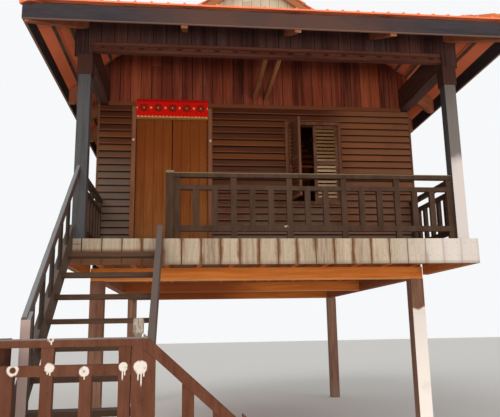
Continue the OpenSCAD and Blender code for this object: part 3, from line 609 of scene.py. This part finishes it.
for side in ("left", "right"):
    leaf_low, leaf_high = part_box("door_leaf_" + side)
    leaf = Wood(side + " door planks", (0.34, 0.108, 0.020), (0.17, 0.042, 0.008), along_z, 0.02)
    leaf.rows(leaf.x, leaf.z, leaf_low[0], row_pitch(leaf_low[0], leaf_high[0], plank), length=6, seam=0.0015,
              seam_colour=(0.07, 0.018, 0.006))
    flaked = leaf.noise(leaf.place, 4.0, 5, 0.65).spread(0.35, 0.6)
    leaf.cover(leaf.z.spread(leaf_low[2] + 0.75, leaf_low[2], 0.0, 0.9) * flaked, (0.27, 0.115, 0.040))
    leaf.cover(leaf.z.spread(leaf_low[2] + 0.7, leaf_low[2] + 1.7, 0.0, 0.75), (0.195, 0.042, 0.008))
    strap = leaf.y > leaf_low[1] + plank_depth
    leaf.cover(strap, (0.07, 0.055, 0.05))
    leaf.set(leaf.shader["Metallic"], strap * 0.8)
    leaf.dress("door_leaf_" + side)
Wood("door frame wood", (0.30, 0.112, 0.050), (0.13, 0.043, 0.019), along_z, 0.06).dress("door_frame")

# Jamb knobs
# A pale glazed knob screwed to the face of each door jamb, turned with a neck and a round head.

jamb_width = 0.06
knob_up = 1.64
knob_radius = 0.018
# radius and distance from the jamb, from the foot round the neck and the head to its middle
knob_outline = ((0.010, 0), (0.009, 0.004), (0.013, 0.007), (knob_radius, 0.012), (knob_radius, 0.016),
                (0.012, 0.021), (0, 0.023))
frame_low, frame_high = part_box("door_frame")


def add_mesh(bm, other):
    """Adds another bmesh to bm and frees it."""
    mesh = mesh_of(other, "part")
    bm.from_mesh(mesh)
    bpy.data.meshes.remove(mesh)


knobs = bmesh.new()
for knob_x in (frame_low[0] + jamb_width / 2, frame_high[0] - jamb_width / 2):
    knob = bmesh.new()
    points = [knob.verts.new((radius, 0, out)) for radius, out in knob_outline]
    edges = [knob.edges.new(pair) for pair in zip(points, points[1:])]
    bmesh.ops.spin(knob, geom=points + edges, cent=(0, 0, 0), axis=(0, 0, 1), dvec=(0, 0, 0),
                   angle=math.tau, steps=20, use_merge=True, use_duplicate=False)
    bmesh.ops.remove_doubles(knob, verts=knob.verts, dist=0.0001)
    bmesh.ops.holes_fill(knob, edges=knob.edges, sides=0)
    turn = Matrix.Rotation(math.radians(90), 4, "X")
    place = Matrix.Translation((knob_x, frame_low[1], frame_low[2] + knob_up))
    bmesh.ops.transform(knob, matrix=place @ turn, verts=knob.verts)
    add_mesh(knobs, knob)
glaze = Finish("pale glaze")
grime = glaze.noise(glaze.place, 90, 4).spread(0.45, 0.65)
glaze.colour = glaze.mix(grime, (0.66, 0.55, 0.46), (0.34, 0.22, 0.15))
new_piece("jamb_knobs", glaze.done({"Roughness": grime.spread(0, 1, 0.15, 0.5)}), knobs)

# Window
# A frame with two louvred leaves: the left one stands open towards the front, the right one is closed and its
# slats are painted with pale highlights, the lower ones most of all.

leaf_stile = 0.045
leaf_mid_rail = 0.05
shut_low, shut_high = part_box("closed_window_leaf")
half_wide = (shut_high[0] - shut_low[0]) / 2
half_high = (shut_high[2] - shut_low[2]) / 2

Wood("open louvre wood", (0.25, 0.075, 0.030), (0.09, 0.026, 0.012), along_z, 0.1).dress("open_window_leaf")
shut = Wood("closed louvre wood", (0.17, 0.062, 0.028), (0.07, 0.023, 0.012), (8, 26, 26), 0.1)
from_middle = abs(shut.x - (shut_low[0] + half_wide))
from_half = abs(shut.z - (shut_low[2] + half_high))
on_slats = (from_half > leaf_mid_rail / 2) * (from_half < half_high - leaf_stile)
on_slats *= from_middle < half_wide - leaf_stile
# uneven painted highlights on the closed leaf's slats
slat_highlight = shut.noise(shut.place, 9, 4).spread(0.3, 0.6, 0.95, 0.6)
shut.cover(on_slats * slat_highlight, (0.30, 0.155, 0.060))
# paler painted highlights on the lower slats
lower_slats_lit = shut.up_to(shut_low[2] + half_high - 0.1, 0.35)
shut.cover(on_slats * lower_slats_lit, (0.62, 0.42, 0.25))
shut.dress("closed_window_leaf")
Wood("window frame wood", (0.19, 0.066, 0.026), (0.08, 0.024, 0.011), along_z, 0.08).dress("window_frame")

# Stair and landing
# Open treads between two string boards, weathered grey, with a handrail along the left side.

stair = Wood("stair wood", (0.105, 0.054, 0.031), (0.042, 0.022, 0.014), (3, 22, 22), 0.3,
             (0.10, 0.060, 0.042))
# painted skylight highlight on the tops of the treads and the landing
stair.paint_lit_faces("Up", (0.125, 0.092, 0.078), 0.8)
stair.dress("stair_treads", "landing", "lower_treads")
strings = Wood("string wood", (0.135, 0.076, 0.046), (0.056, 0.032, 0.020), (20, 4, 6), 0.4,
               (0.125, 0.082, 0.060))
# painted skylight highlight on the tops of the string boards
strings.paint_lit_faces("Up", (0.125, 0.100, 0.090), 0.9)
strings.dress("stair_stringers", "lower_stringers")

# Stair handrail
# A broad rail with worn round upper edges, let into a square foot post on the landing.
# Thin dark uprights stand on the left string board and are screwed to the rail's outer face.

hand_low, hand_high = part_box("stair_handrail")
string_inner = hand_low[0] + 0.055
hand_wide = 0.045
hand_deep = 0.110
hand_slope = 0.9227
hand_rounding = 0.016
foot_wide = 0.074
foot_let_in = 0.02
foot_proud = 0.003
upright_thick = 0.022
upright_deep = 0.100
upright_count = 5
string_drop = 0.664
lap_drop = 0.086


def rail_top(y):
    """Height of the handrail's top over the stair."""
    return hand_high[2] + (y - hand_high[1]) * hand_slope


def extrude_face(bm, corners, reach):
    """Draws a face out along a vector into a bar; gives the vertices of both ends."""
    grown = bmesh.ops.extrude_face_region(bm, geom=[bm.faces.new(corners)])["geom"]
    head = [vert for vert in grown if isinstance(vert, bmesh.types.BMVert)]
    bmesh.ops.translate(bm, verts=head, vec=reach)
    return corners + head


def add_slanted(bm, x0, x1, y0, y1, low, high, rounding=0.002):
    """A board that runs with the stair, between two distances under the rail's top."""
    outline = ((x0, low), (x1, low), (x1, high), (x0, high))
    corners = [bm.verts.new((x, y0, rail_top(y0) - drop)) for x, drop in outline]
    verts = extrude_face(bm, corners, (0, y1 - y0, (y1 - y0) * hand_slope))
    upper = [edge for edge in edges_of(verts) if abs(edge.verts[0].co.y - edge.verts[1].co.y) > 0.01
             and all(abs(vert.co.z - rail_top(vert.co.y) + high) < 0.001 for vert in edge.verts)]
    bevel(bm, upper, rounding, 4)


rail_wood = bmesh.new()
add_slanted(rail_wood, string_inner, string_inner + hand_wide, hand_low[1] + foot_proud, hand_high[1],
            hand_deep, 0.0, hand_rounding)
half_foot = foot_wide / 2
foot_middle = Vector((string_inner + half_foot, hand_low[1] + half_foot, hand_low[2] + 0.5))
foot = bmesh.ops.create_cube(rail_wood, size=1, matrix=Matrix.Translation(foot_middle)
                             @ Matrix.Diagonal((foot_wide, foot_wide, 1, 1)))["verts"]
for vert in foot:
    if vert.co.z > foot_middle.z:
        vert.co.z = rail_top(vert.co.y) - foot_let_in
bevel(rail_wood, edges_of(foot), 0.004, 2)
handrail = Wood("handrail wood", (0.125, 0.078, 0.056), (0.050, 0.031, 0.023), (20, 5, 5), 0.3,
                (0.13, 0.10, 0.09))
# a painted bluish highlight of the sky on the rail's upper faces
handrail.paint_lit_faces("Up", (0.23, 0.235, 0.245), 0.9)
# the foot post is painted pale pink, as sunlight on it
handrail.cover(handrail.y < hand_low[1] + foot_proud, (0.40, 0.29, 0.26))
new_piece("stair_rail", handrail.done(), rail_wood, "stair_handrail")

upright_wood = bmesh.new()
upright_step = (hand_high[1] - hand_low[1]) / (upright_count + 1)
for number in range(1, upright_count + 1):
    front = hand_high[1] - number * upright_step
    add_slanted(upright_wood, string_inner - upright_thick, string_inner, front, front + upright_deep,
                string_drop, lap_drop)
uprights = Wood("stair upright wood", (0.050, 0.032, 0.023), (0.020, 0.013, 0.010), along_z, 0.2,
                (0.06, 0.046, 0.040))
new_piece("stair_uprights", uprights.done(), upright_wood)

# Landing balustrade
# Broad boards under two rails, between newels with block finials, all of red-brown wood.
# White paint was dabbed over the rail's joints and ran down, and the finials are pale and cracked.

land_low, land_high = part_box("landing_balustrade")
land_newel = 0.072
land_board = 0.085
land_gap = 0.003
finial = 0.108
rail_depth = 0.10
first_board = land_high[0] - land_newel - land_gap - land_board / 2
board_pitch = (first_board - land_low[0] - land_newel / 2) / 4
rail_z = land_high[2] - 0.317
finial_foot = land_high[2] - finial
on_newel = (first_board - land_high[0] + 0.016) / board_pitch
# boards from the first one, height against the second rail, radius, radius of the bare middle, then the
# runs: how far each hangs below the dab and how far it is from the middle
dabs = (
    (2.86, 0.004, 0.036, 0.020, ()),
    (1.93, 0.014, 0.030, 0.0, ((0.012, -0.012), (0.020, 0.004))),
    (1.04, -0.012, 0.031, 0.007, ((0.022, 0.002),)),
    (0.03, 0.010, 0.028, 0.0, ((0.062, -0.004), (0.030, 0.010))),
    (on_newel, 0.006, 0.042, 0.0, ((0.085, 0.006), (0.045, -0.014), (0.020, 0.022))),
    (1.93, 0.190, 0.020, 0.010, ((0.016, 0.006),)),
)

land = Wood("landing rail wood", (0.150, 0.052, 0.027), (0.066, 0.021, 0.011), (16, 16, 3.5), 0.15,
            (0.105, 0.054, 0.036))
rail_edge = land.z.spread(finial_foot - 0.028, finial_foot - 0.018, 0.0, 0.7)
land.cover(rail_edge, (0.20, 0.20, 0.19))
ragged = land.noise(land.place, 38.0, 4, 0.65)
wobble = (ragged - 0.5) * 0.020


def paint_dab(boards, lift, radius, hollow, hanging_runs):
    """A mask of one dab of paint with an uneven edge and the runs that hang from it."""
    aside = land.x - (first_board - boards * board_pitch)
    above = land.z - (rail_z + lift)
    reach = land.math("SQRT", aside ** 2 + above ** 2) + wobble
    dab = reach.spread(radius + 0.004, radius - 0.005)
    if hollow:
        dab *= reach.spread(hollow - 0.004, hollow + 0.003)
    for length, shift in hanging_runs:
        thin = abs(aside - shift).spread(0.0055, 0.0030)
        hanging = (above < -radius * 0.5) * above.spread(-radius - length, -radius - length * 0.6)
        dab = land.math("MAXIMUM", dab, thin * hanging)
    return dab


painted = paint_dab(*dabs[0])
for dab in dabs[1:]:
    painted = land.math("MAXIMUM", painted, paint_dab(*dab))
in_row = land.y < land_low[1] + rail_depth
paint_colour = land.mix(ragged.spread(0.50, 0.75), (0.62, 0.56, 0.50), (0.40, 0.32, 0.26))
land.cover(painted * in_row, paint_colour)
cracks = land.noise(land.stretched((60, 60, 16)), 1.0, 4, 0.7).spread(0.44, 0.54)
land.cover((land.z > finial_foot) * cracks, (0.33, 0.26, 0.195))
land.dress("landing_balustrade", "lower_handrail")

# Rafters and fascia
# Sawn rafters carry the tiles; dark boards close their ends all round the eaves.

fascia_low, fascia_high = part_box("fascia_boards")

Wood("rafter wood", (0.46, 0.15, 0.065), (0.17, 0.05, 0.024), (6, 6, 6), 0.06).dress("roof_rafters")
fascia = Wood("fascia wood", (0.052, 0.038, 0.040), (0.026, 0.022, 0.026), (2, 2, 26), 0.3,
              (0.046, 0.040, 0.046))
browner = abs(fascia.x).spread(1.9, 0.7) * fascia.noise(fascia.place, 1.1, 3).spread(0.35, 0.6, 0.35, 0.9)
fascia.cover(browner, (0.090, 0.043, 0.031))
fascia.cover(fascia.z.spread(fascia_low[2] + 0.002, fascia_low[2] + 0.008, 0.6, 0.0), (0.30, 0.17, 0.12))
fascia.dress("fascia_boards")

# Roof tiles
# Flat clay tiles with a raised side roll, hung on battens in straight columns and cut along the hips.
# They replace the plain slopes; their undersides show between the rafters.

side_pitch = math.radians(35)
front_pitch = math.radians(25)
fascia_height = 0.172
eave_y = fascia_low[1]
eave_z = fascia_low[2] + fascia_height
half_width = fascia_high[0]
roof_middle = (fascia_low[1] + fascia_high[1]) / 2
verge_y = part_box("gablets")[0][1]
gable_y = verge_y + 0.12
hip_ratio = math.tan(front_pitch) / math.tan(side_pitch)
# the slopes stand out past the fascia; the tails lift out on their battens, so they start further in
lip = 0.04
side_lip = -0.002
front_lip = 0.009
tile_width = 0.172
tile_length = 0.245
tile_show = 0.19
tile_thick = 0.016
head_over = 0.03
batten_high = 0.024
batten_wide = 0.036
looseness = 0.006
gable_clear = 0.014
under_sides = 0.09


def hip_x(y):
    """Half width of the hip line at y, on the front half of the roof."""
    return half_width - (y - eave_y) * hip_ratio


def slope_frame(start, along, pitch):
    """Matrix from a slope's own axes (along the eave, up the slope, out of it) to the house."""
    inwards = Vector((0, 0, 1)).cross(along)
    up = inwards * math.cos(pitch) + Vector((0, 0, math.sin(pitch)))
    return Matrix.Translation(start) @ Matrix((along, up, along.cross(up))).transposed().to_4x4()


def add_tile(bm, slope, along, up, width):
    """One tile: a flat pan with a side roll, its head on a batten and its tail on the tile below."""
    outline = ((0, 0), (width, 0), (width, tile_thick), (width - 0.007, 0.027), (width - 0.018, 0.031),
               (width - 0.029, 0.027), (width - 0.036, tile_thick), (0, tile_thick))
    verts = extrude_face(bm, [bm.verts.new((x, 0, z)) for x, z in outline], (0, tile_length, 0))
    tilt = Matrix.Rotation(-math.atan2(tile_thick, tile_show) + random.uniform(-looseness, looseness), 4, "X")
    lift = batten_high + tile_thick + random.uniform(0, 0.002)
    sway = Matrix.Rotation(random.uniform(-looseness, looseness), 4, "Z")
    bmesh.ops.transform(bm, matrix=slope @ Matrix.Translation((along, up, lift)) @ tilt @ sway, verts=verts)


def cut(bm, point, normal):
    """Cuts away what lies on the normal's side of a plane and closes the cut."""
    everything = list(bm.verts) + list(bm.edges) + list(bm.faces)
    made = bmesh.ops.bisect_plane(bm, geom=everything, plane_co=point, plane_no=normal, clear_outer=True)
    rim = [edge for edge in made["geom_cut"] if isinstance(edge, bmesh.types.BMEdge)]
    bmesh.ops.holes_fill(bm, edges=rim, sides=0)


def hip_plane(side):
    """A point on the front hip and the normal that points from the side slope to the front slope."""
    along = Vector((-side * hip_ratio, 1, 0))
    normal = along.cross(Vector((0, 0, 1))).normalized() * -side
    return Vector((side * half_width, eave_y, eave_z)), normal


def tile_field(slope, start, end, length):
    """Courses of tiles and battens from start to end along the eave and up to length."""
    pitch = row_pitch(start, end, tile_width)
    tiles = bmesh.new()
    battens = bmesh.new()
    for level in range(math.ceil(length / tile_show)):
        up = level * tile_show
        for column in range(round((end - start) / pitch)):
            add_tile(tiles, slope, start + column * pitch, up, pitch)
        at = up + tile_length - head_over
        if at < length:
            batten = bmesh.new()
            add_board(batten, (start, at - batten_wide, 0.001), (end, at, batten_high), 0.001)
            bmesh.ops.transform(batten, matrix=slope, verts=batten.verts)
            add_mesh(battens, batten)
    return tiles, battens


def copy_turned(bm, matrix):
    """A copy of bm moved by a matrix."""
    other = bm.copy()
    bmesh.ops.transform(other, matrix=matrix, verts=other.verts)
    return other


to_rear = Matrix.Translation((0, 2 * roof_middle, 0)) @ Matrix.Scale(-1, 4, (0, 1, 0))
to_left = Matrix.Scale(-1, 4, (1, 0, 0))
side_slope = slope_frame((half_width + side_lip, 0, eave_z - side_lip * math.tan(side_pitch)),
                         Vector((0, 1, 0)), side_pitch)
front_slope = slope_frame((0, eave_y - front_lip, eave_z - front_lip * math.tan(front_pitch)),
                          Vector((1, 0, 0)), front_pitch)

clay = Finish("fired clay")
tile_cell = clay.node("VectorMath", {0: clay.place, 1: (tile_width, tile_width, 0.12)}, operation="SNAP")[0]
tile_tone = clay.node("TexWhiteNoise", {"Vector": tile_cell}, noise_dimensions="3D")["Value"]
clay.colour = clay.mix(tile_tone, (0.56, 0.150, 0.055), (0.78, 0.27, 0.105))
underside = clay.facing()["Z"] < -0.3
lichen = clay.noise(clay.place, 2.2, 6, 0.65).spread(0.50, 0.66, 0.0, 0.7)
clay.cover(lichen * (1.0 - underside), (0.20, 0.085, 0.05))
# the undersides are painted bright orange, as light bounced up from below
clay.cover(underside * 0.9, (1.0, 0.235, 0.105))
specks = clay.noise(clay.place, 90, 4, 0.7)
clay.cover(specks.spread(0.6, 0.7, 0.0, 0.4), (0.30, 0.12, 0.07))
clay.relief(specks, 0.002)
clay_material = clay.done({"Roughness": 0.85, "Specular IOR Level": 0.25})
batten_material = Wood("batten wood", (0.17, 0.10, 0.07), (0.055, 0.035, 0.03), (8, 8, 8), 0.2).done()

# side slopes: the columns start at the verge, so the cut ones are all in the hip's corner
side_length = (half_width + side_lip) / math.cos(side_pitch)
sides = tile_field(side_slope, verge_y, 2 * roof_middle - verge_y, side_length)
corner_length = (half_width + side_lip - hip_x(verge_y)) / math.cos(side_pitch) + tile_show
corners = tile_field(side_slope, eave_y - lip, verge_y, corner_length)
for corner, whole in zip(corners, sides):
    cut(corner, *hip_plane(1))
    add_mesh(whole, copy_turned(corner, to_rear))
    add_mesh(whole, corner)
    cut(whole, (0, 0, 0), (-1, 0, 0))

# front slope: cut along both hips, and under the verges where it runs in beneath the side slopes
fronts = tile_field(front_slope, -half_width - lip, half_width + lip,
                    (verge_y - eave_y + front_lip) / math.cos(front_pitch))
neck = half_width - (math.tan(front_pitch) * (verge_y - eave_y) + under_sides) / math.tan(side_pitch)
tops = tile_field(front_slope, -neck, neck, (gable_y - eave_y + front_lip) / math.cos(front_pitch))
for field, top in zip(fronts, tops):
    for side in (1, -1):
        point, normal = hip_plane(side)
        cut(field, point, -normal)
    cut(field, (0, verge_y, 0), (0, 1, 0))
    cut(top, (0, verge_y, 0), (0, -1, 0))
    cut(top, (0, gable_y - gable_clear, 0), (0, 1, 0))
    add_mesh(field, top)

lefts = [copy_turned(field, to_left) for field in sides]
rears = [copy_turned(field, to_rear) for field in fronts]
for name, (tiles, battens) in (("right", sides), ("left", lefts), ("front", fronts), ("rear", rears)):
    new_piece(name + "_tiles", clay_material, tiles, name + "_roof_slope")
    new_piece(name + "_battens", batten_material, battens)

# Hip and ridge tiles
# Half-round clay tiles laid in mortar along the hips and the ridge, each lapped over the next.

cap_radius = 0.094
cap_taper = 0.86
cap_open_below = -0.035
cap_length = 0.34
cap_show = 0.30
cap_rise = 0.045
ridge_z = eave_z + half_width * math.tan(side_pitch)


def add_caps(bm, start, end):
    """Half-round tiles from start to end, each with its wide end over the one before."""
    direction = (end - start).normalized()
    sideways = direction.cross(Vector((0, 0, 1))).normalized()
    matrix = Matrix((sideways, sideways.cross(direction), direction)).transposed().to_4x4()
    count = round((end - start).length / cap_show)
    show = ((end - start).length - (cap_length - cap_show)) / count
    for number in range(count):
        cap = bmesh.new()
        bmesh.ops.create_cone(cap, cap_ends=True, segments=20, radius1=cap_radius,
                              radius2=cap_radius * cap_taper, depth=cap_length)
        bmesh.ops.translate(cap, verts=cap.verts, vec=(0, 0, cap_length / 2))
        cut(cap, (0, cap_open_below, 0), (0, -1, 0))
        place = Matrix.Translation(start + direction * show * number) @ matrix
        bmesh.ops.transform(cap, matrix=place, verts=cap.verts)
        add_mesh(bm, cap)


def hip_point(y):
    """The middle of the hip tiles at y."""
    return Vector((hip_x(y), y, eave_z + (y - eave_y) * math.tan(front_pitch) + cap_rise))


hips = bmesh.new()
add_caps(hips, hip_point(eave_y - lip + 0.03), hip_point(verge_y))
# the lowest tile is cut off flush with the eaves
cut(hips, (half_width + lip - 0.001, 0, 0), (1, 0, 0))
cut(hips, (0, eave_y - lip + 0.001, 0), (0, -1, 0))
caps = bmesh.new()
for matrix in (to_left, to_rear, to_left @ to_rear):
    add_mesh(caps, copy_turned(hips, matrix))
add_mesh(caps, hips)
add_caps(caps, Vector((0, verge_y + 0.002, ridge_z + cap_rise)),
         Vector((0, 2 * roof_middle - verge_y - 0.002, ridge_z + cap_rise)))
new_piece("hip_and_ridge_tiles", clay_material, caps, "ridge_and_hip_caps")

# Gablets
# Pale painted boards close each end of the ridge, with red-brown verge boards under the tiles.

gable_board = 0.14
verge_thick = 0.05

gable = Wood("gable boards", (0.74, 0.66, 0.50), (0.50, 0.42, 0.29), along_z, 0.15, (0.55, 0.5, 0.4))
gable.rows(gable.x, gable.z, -gable_board / 2, gable_board, length=5, seam=0.003,
           seam_colour=(0.22, 0.17, 0.11))
is_verge = abs(gable.y - roof_middle) > roof_middle - verge_y - verge_thick
gable.cover(is_verge, (0.36, 0.14, 0.06))
gable.dress("gablets")

# Door hanging
# A red printed cloth tacked over the head of the door, with a dark top band, dark rosettes with small
# gold lozenges between them, a scalloped gold border and a short fringe.

cloth_low, cloth_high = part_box("door_banner")
cloth_width = cloth_high[0] - cloth_low[0]
cloth_height = cloth_high[2] - cloth_low[2]
cloth_y = (cloth_low[1] + cloth_high[1]) / 2
cloth_thick = 0.0012
fringe_height = 0.03
strands = 110
strand_radius = 0.0028
strand_tip = 0.0018
rosettes = 5
rosette_pitch = cloth_width / rosettes
rosette_height = 0.178
petal_count = 8.0

cloth = bmesh.new()
bmesh.ops.create_grid(cloth, x_segments=70, y_segments=22, size=0.5)
for vert in cloth.verts:
    share = 0.5 - vert.co.y
    fold = math.sin(vert.co.x * 31) * 0.0018 + math.sin(vert.co.x * 77 + share * 3) * 0.0009
    vert.co = Vector((
        (cloth_low[0] + cloth_high[0]) / 2 + vert.co.x * cloth_width,
        cloth_y - 0.0008 + fold * share,
        cloth_high[2] - share * (cloth_height - fringe_height),
    ))
red = Finish("red printed cloth")
across = red.x - cloth_low[0]
height = red.z - cloth_low[2]


def from_motif(shift):
    """Distance along the cloth from the middle of the nearest motif of a row."""
    steps = across / rosette_pitch + shift
    return (red.math("FRACT", steps) - 0.5) * rosette_pitch


aside = from_motif(0.0)
rise = height - rosette_height
radius = red.math("SQRT", aside ** 2 + rise ** 2)
petals = red.math("COSINE", red.math("ARCTAN2", rise, aside) * petal_count)
flower = radius < petals * 0.010 + 0.058
ring = (radius < 0.034) * (radius > 0.022)
heart = radius < 0.010
lozenge = abs(from_motif(0.5)) + abs(rise) < 0.020
top_band = height > cloth_height - 0.040
scallop = abs(red.math("SINE", across * 62.0))
border = height < scallop * 0.022 + fringe_height + 0.008
mottle = red.noise(red.place, 60, 4, 0.7)
gold = red.mix(mottle.spread(0.4, 0.6), (0.82, 0.50, 0.20), (0.46, 0.20, 0.05))
red.colour = red.mix(mottle.spread(0.3, 0.7), (0.60, 0.004, 0.002), (0.76, 0.007, 0.003))
red.cover(flower, (0.145, 0.018, 0.007))
red.cover(ring, (0.50, 0.010, 0.005))
red.cover(heart, gold)
red.cover(lozenge, gold)
red.cover(top_band, (0.40, 0.005, 0.004))
red.cover(border * mottle.spread(0.34, 0.50), gold)
red.relief(red.node("TexWave", {"Vector": red.place, "Scale": 400}, bands_direction="DIAGONAL")[1], 0.0006)
cloth_material = red.done({"Roughness": 0.8, "Sheen Weight": 0.05, "Specular IOR Level": 0.15})
hanging = new_piece("door_hanging", cloth_material, cloth, "door_banner")
hanging.modifiers.new("cloth thickness", "SOLIDIFY").thickness = cloth_thick

thread = Finish("gold thread")
thread.colour = thread.mix(thread.noise(thread.place, 120, 3), (0.62, 0.34, 0.10), (0.34, 0.10, 0.02))
fringe = bmesh.new()
for strand in range(strands):
    hung_at = Matrix.Translation((cloth_low[0] + (strand + 0.5) * cloth_width / strands, cloth_y,
                                  cloth_low[2] + fringe_height / 2 + 0.002))
    bmesh.ops.create_cone(fringe, cap_ends=True, segments=5, radius1=strand_radius, radius2=strand_tip,
                          depth=fringe_height + random.uniform(-0.003, 0.002), matrix=hung_at)
fringe_piece = new_piece("hanging_fringe", thread.done({"Roughness": 0.7}), fringe)

# Studio
# A pale floor under soft light, and a camera at the photo's viewing angle, looking a little up.

floor_bm = bmesh.new()
bmesh.ops.create_grid(floor_bm, x_segments=1, y_segments=1, size=60)
floor = add_object("floor", mesh_of(floor_bm, "floor"))
floor.data.materials.append(Finish("pale floor", (0.74, 0.73, 0.71)).done({"Roughness": 0.9}))
floor.location = (0, 0, -0.0005)

world = adjust(bpy.data.worlds.new("studio"), use_nodes=True)
bpy.context.scene.world = world
sky = Pattern(world.node_tree)
ambient = sky.tree.nodes["Background"]
sky.set(ambient.inputs["Color"], (1.0, 0.99, 0.97))
sky.set(ambient.inputs["Strength"], 0.50)
backdrop = sky.node("Background", {"Color": (0.93, 0.94, 0.95), "Strength": 1.0})[0]
ray = sky.node("LightPath")
direct = sky.math("MAXIMUM", ray["Is Camera Ray"], ray["Is Glossy Ray"])
direct = sky.math("MAXIMUM", direct, ray["Is Transmission Ray"])
choose = sky.node("MixShader", {0: direct, 1: Value(sky, ambient.outputs[0]), 2: backdrop})[0]
sky.set(sky.tree.nodes["World Output"].inputs[0], choose)


def add_lamp(name, kind, direction, energy, colour, **settings):
    """A soft lamp that shines along a direction."""
    lamp = adjust(bpy.data.lights.new(name, kind), energy=energy, color=colour, **settings)
    turn = Vector(direction).to_track_quat("-Z", "Y").to_euler()
    return adjust(add_object(name, lamp), rotation_euler=turn)


add_lamp("key lamp", "SUN", (0.55, 0.75, -0.62), 1.0, (1.0, 0.97, 0.92), angle=math.radians(35))
add_lamp("fill lamp", "SUN", (-0.75, 0.6, -0.25), 0.6, (0.97, 0.98, 1.0), angle=math.radians(60))
# a wide soft lamp low in front, which reaches in under the veranda roof and the floor
low_lamp = add_lamp("low lamp", "AREA", (-0.05, 0.96, 0.27), 262, (1.0, 0.96, 0.90), shape="RECTANGLE",
                    size=9.0, size_y=2.0, spread=math.radians(110))
adjust(low_lamp, location=(0.5, -13.0, 1.2), visible_camera=False, visible_glossy=False)

camera_place = Vector((-1.011, -8.997, 1.502))
yaw, tilt, roll = 0.1134, 0.2039, -0.0176
focal_pixels = 586.1
shift_pixels = (-3.8, -1.1)
image_width = 500
sensor = 36.0
forward = Vector((math.sin(yaw) * math.cos(tilt), math.cos(yaw) * math.cos(tilt), math.sin(tilt)))
right = Vector((math.cos(yaw), -math.sin(yaw), 0))
over = right.cross(forward)
right, over = (math.cos(roll) * right + math.sin(roll) * over, math.cos(roll) * over - math.sin(roll) * right)
lens = adjust(bpy.data.cameras.new("camera"), sensor_fit="HORIZONTAL", sensor_width=sensor, clip_end=300,
              lens=sensor * focal_pixels / image_width, shift_x=shift_pixels[0] / image_width,
              shift_y=shift_pixels[1] / image_width)
camera = add_object("camera", lens)
camera.matrix_world = Matrix.Translation(camera_place) @ Matrix((right, over, -forward)).transposed().to_4x4()
bpy.context.scene.camera = camera
bpy.context.scene.view_settings.view_transform = "Standard"
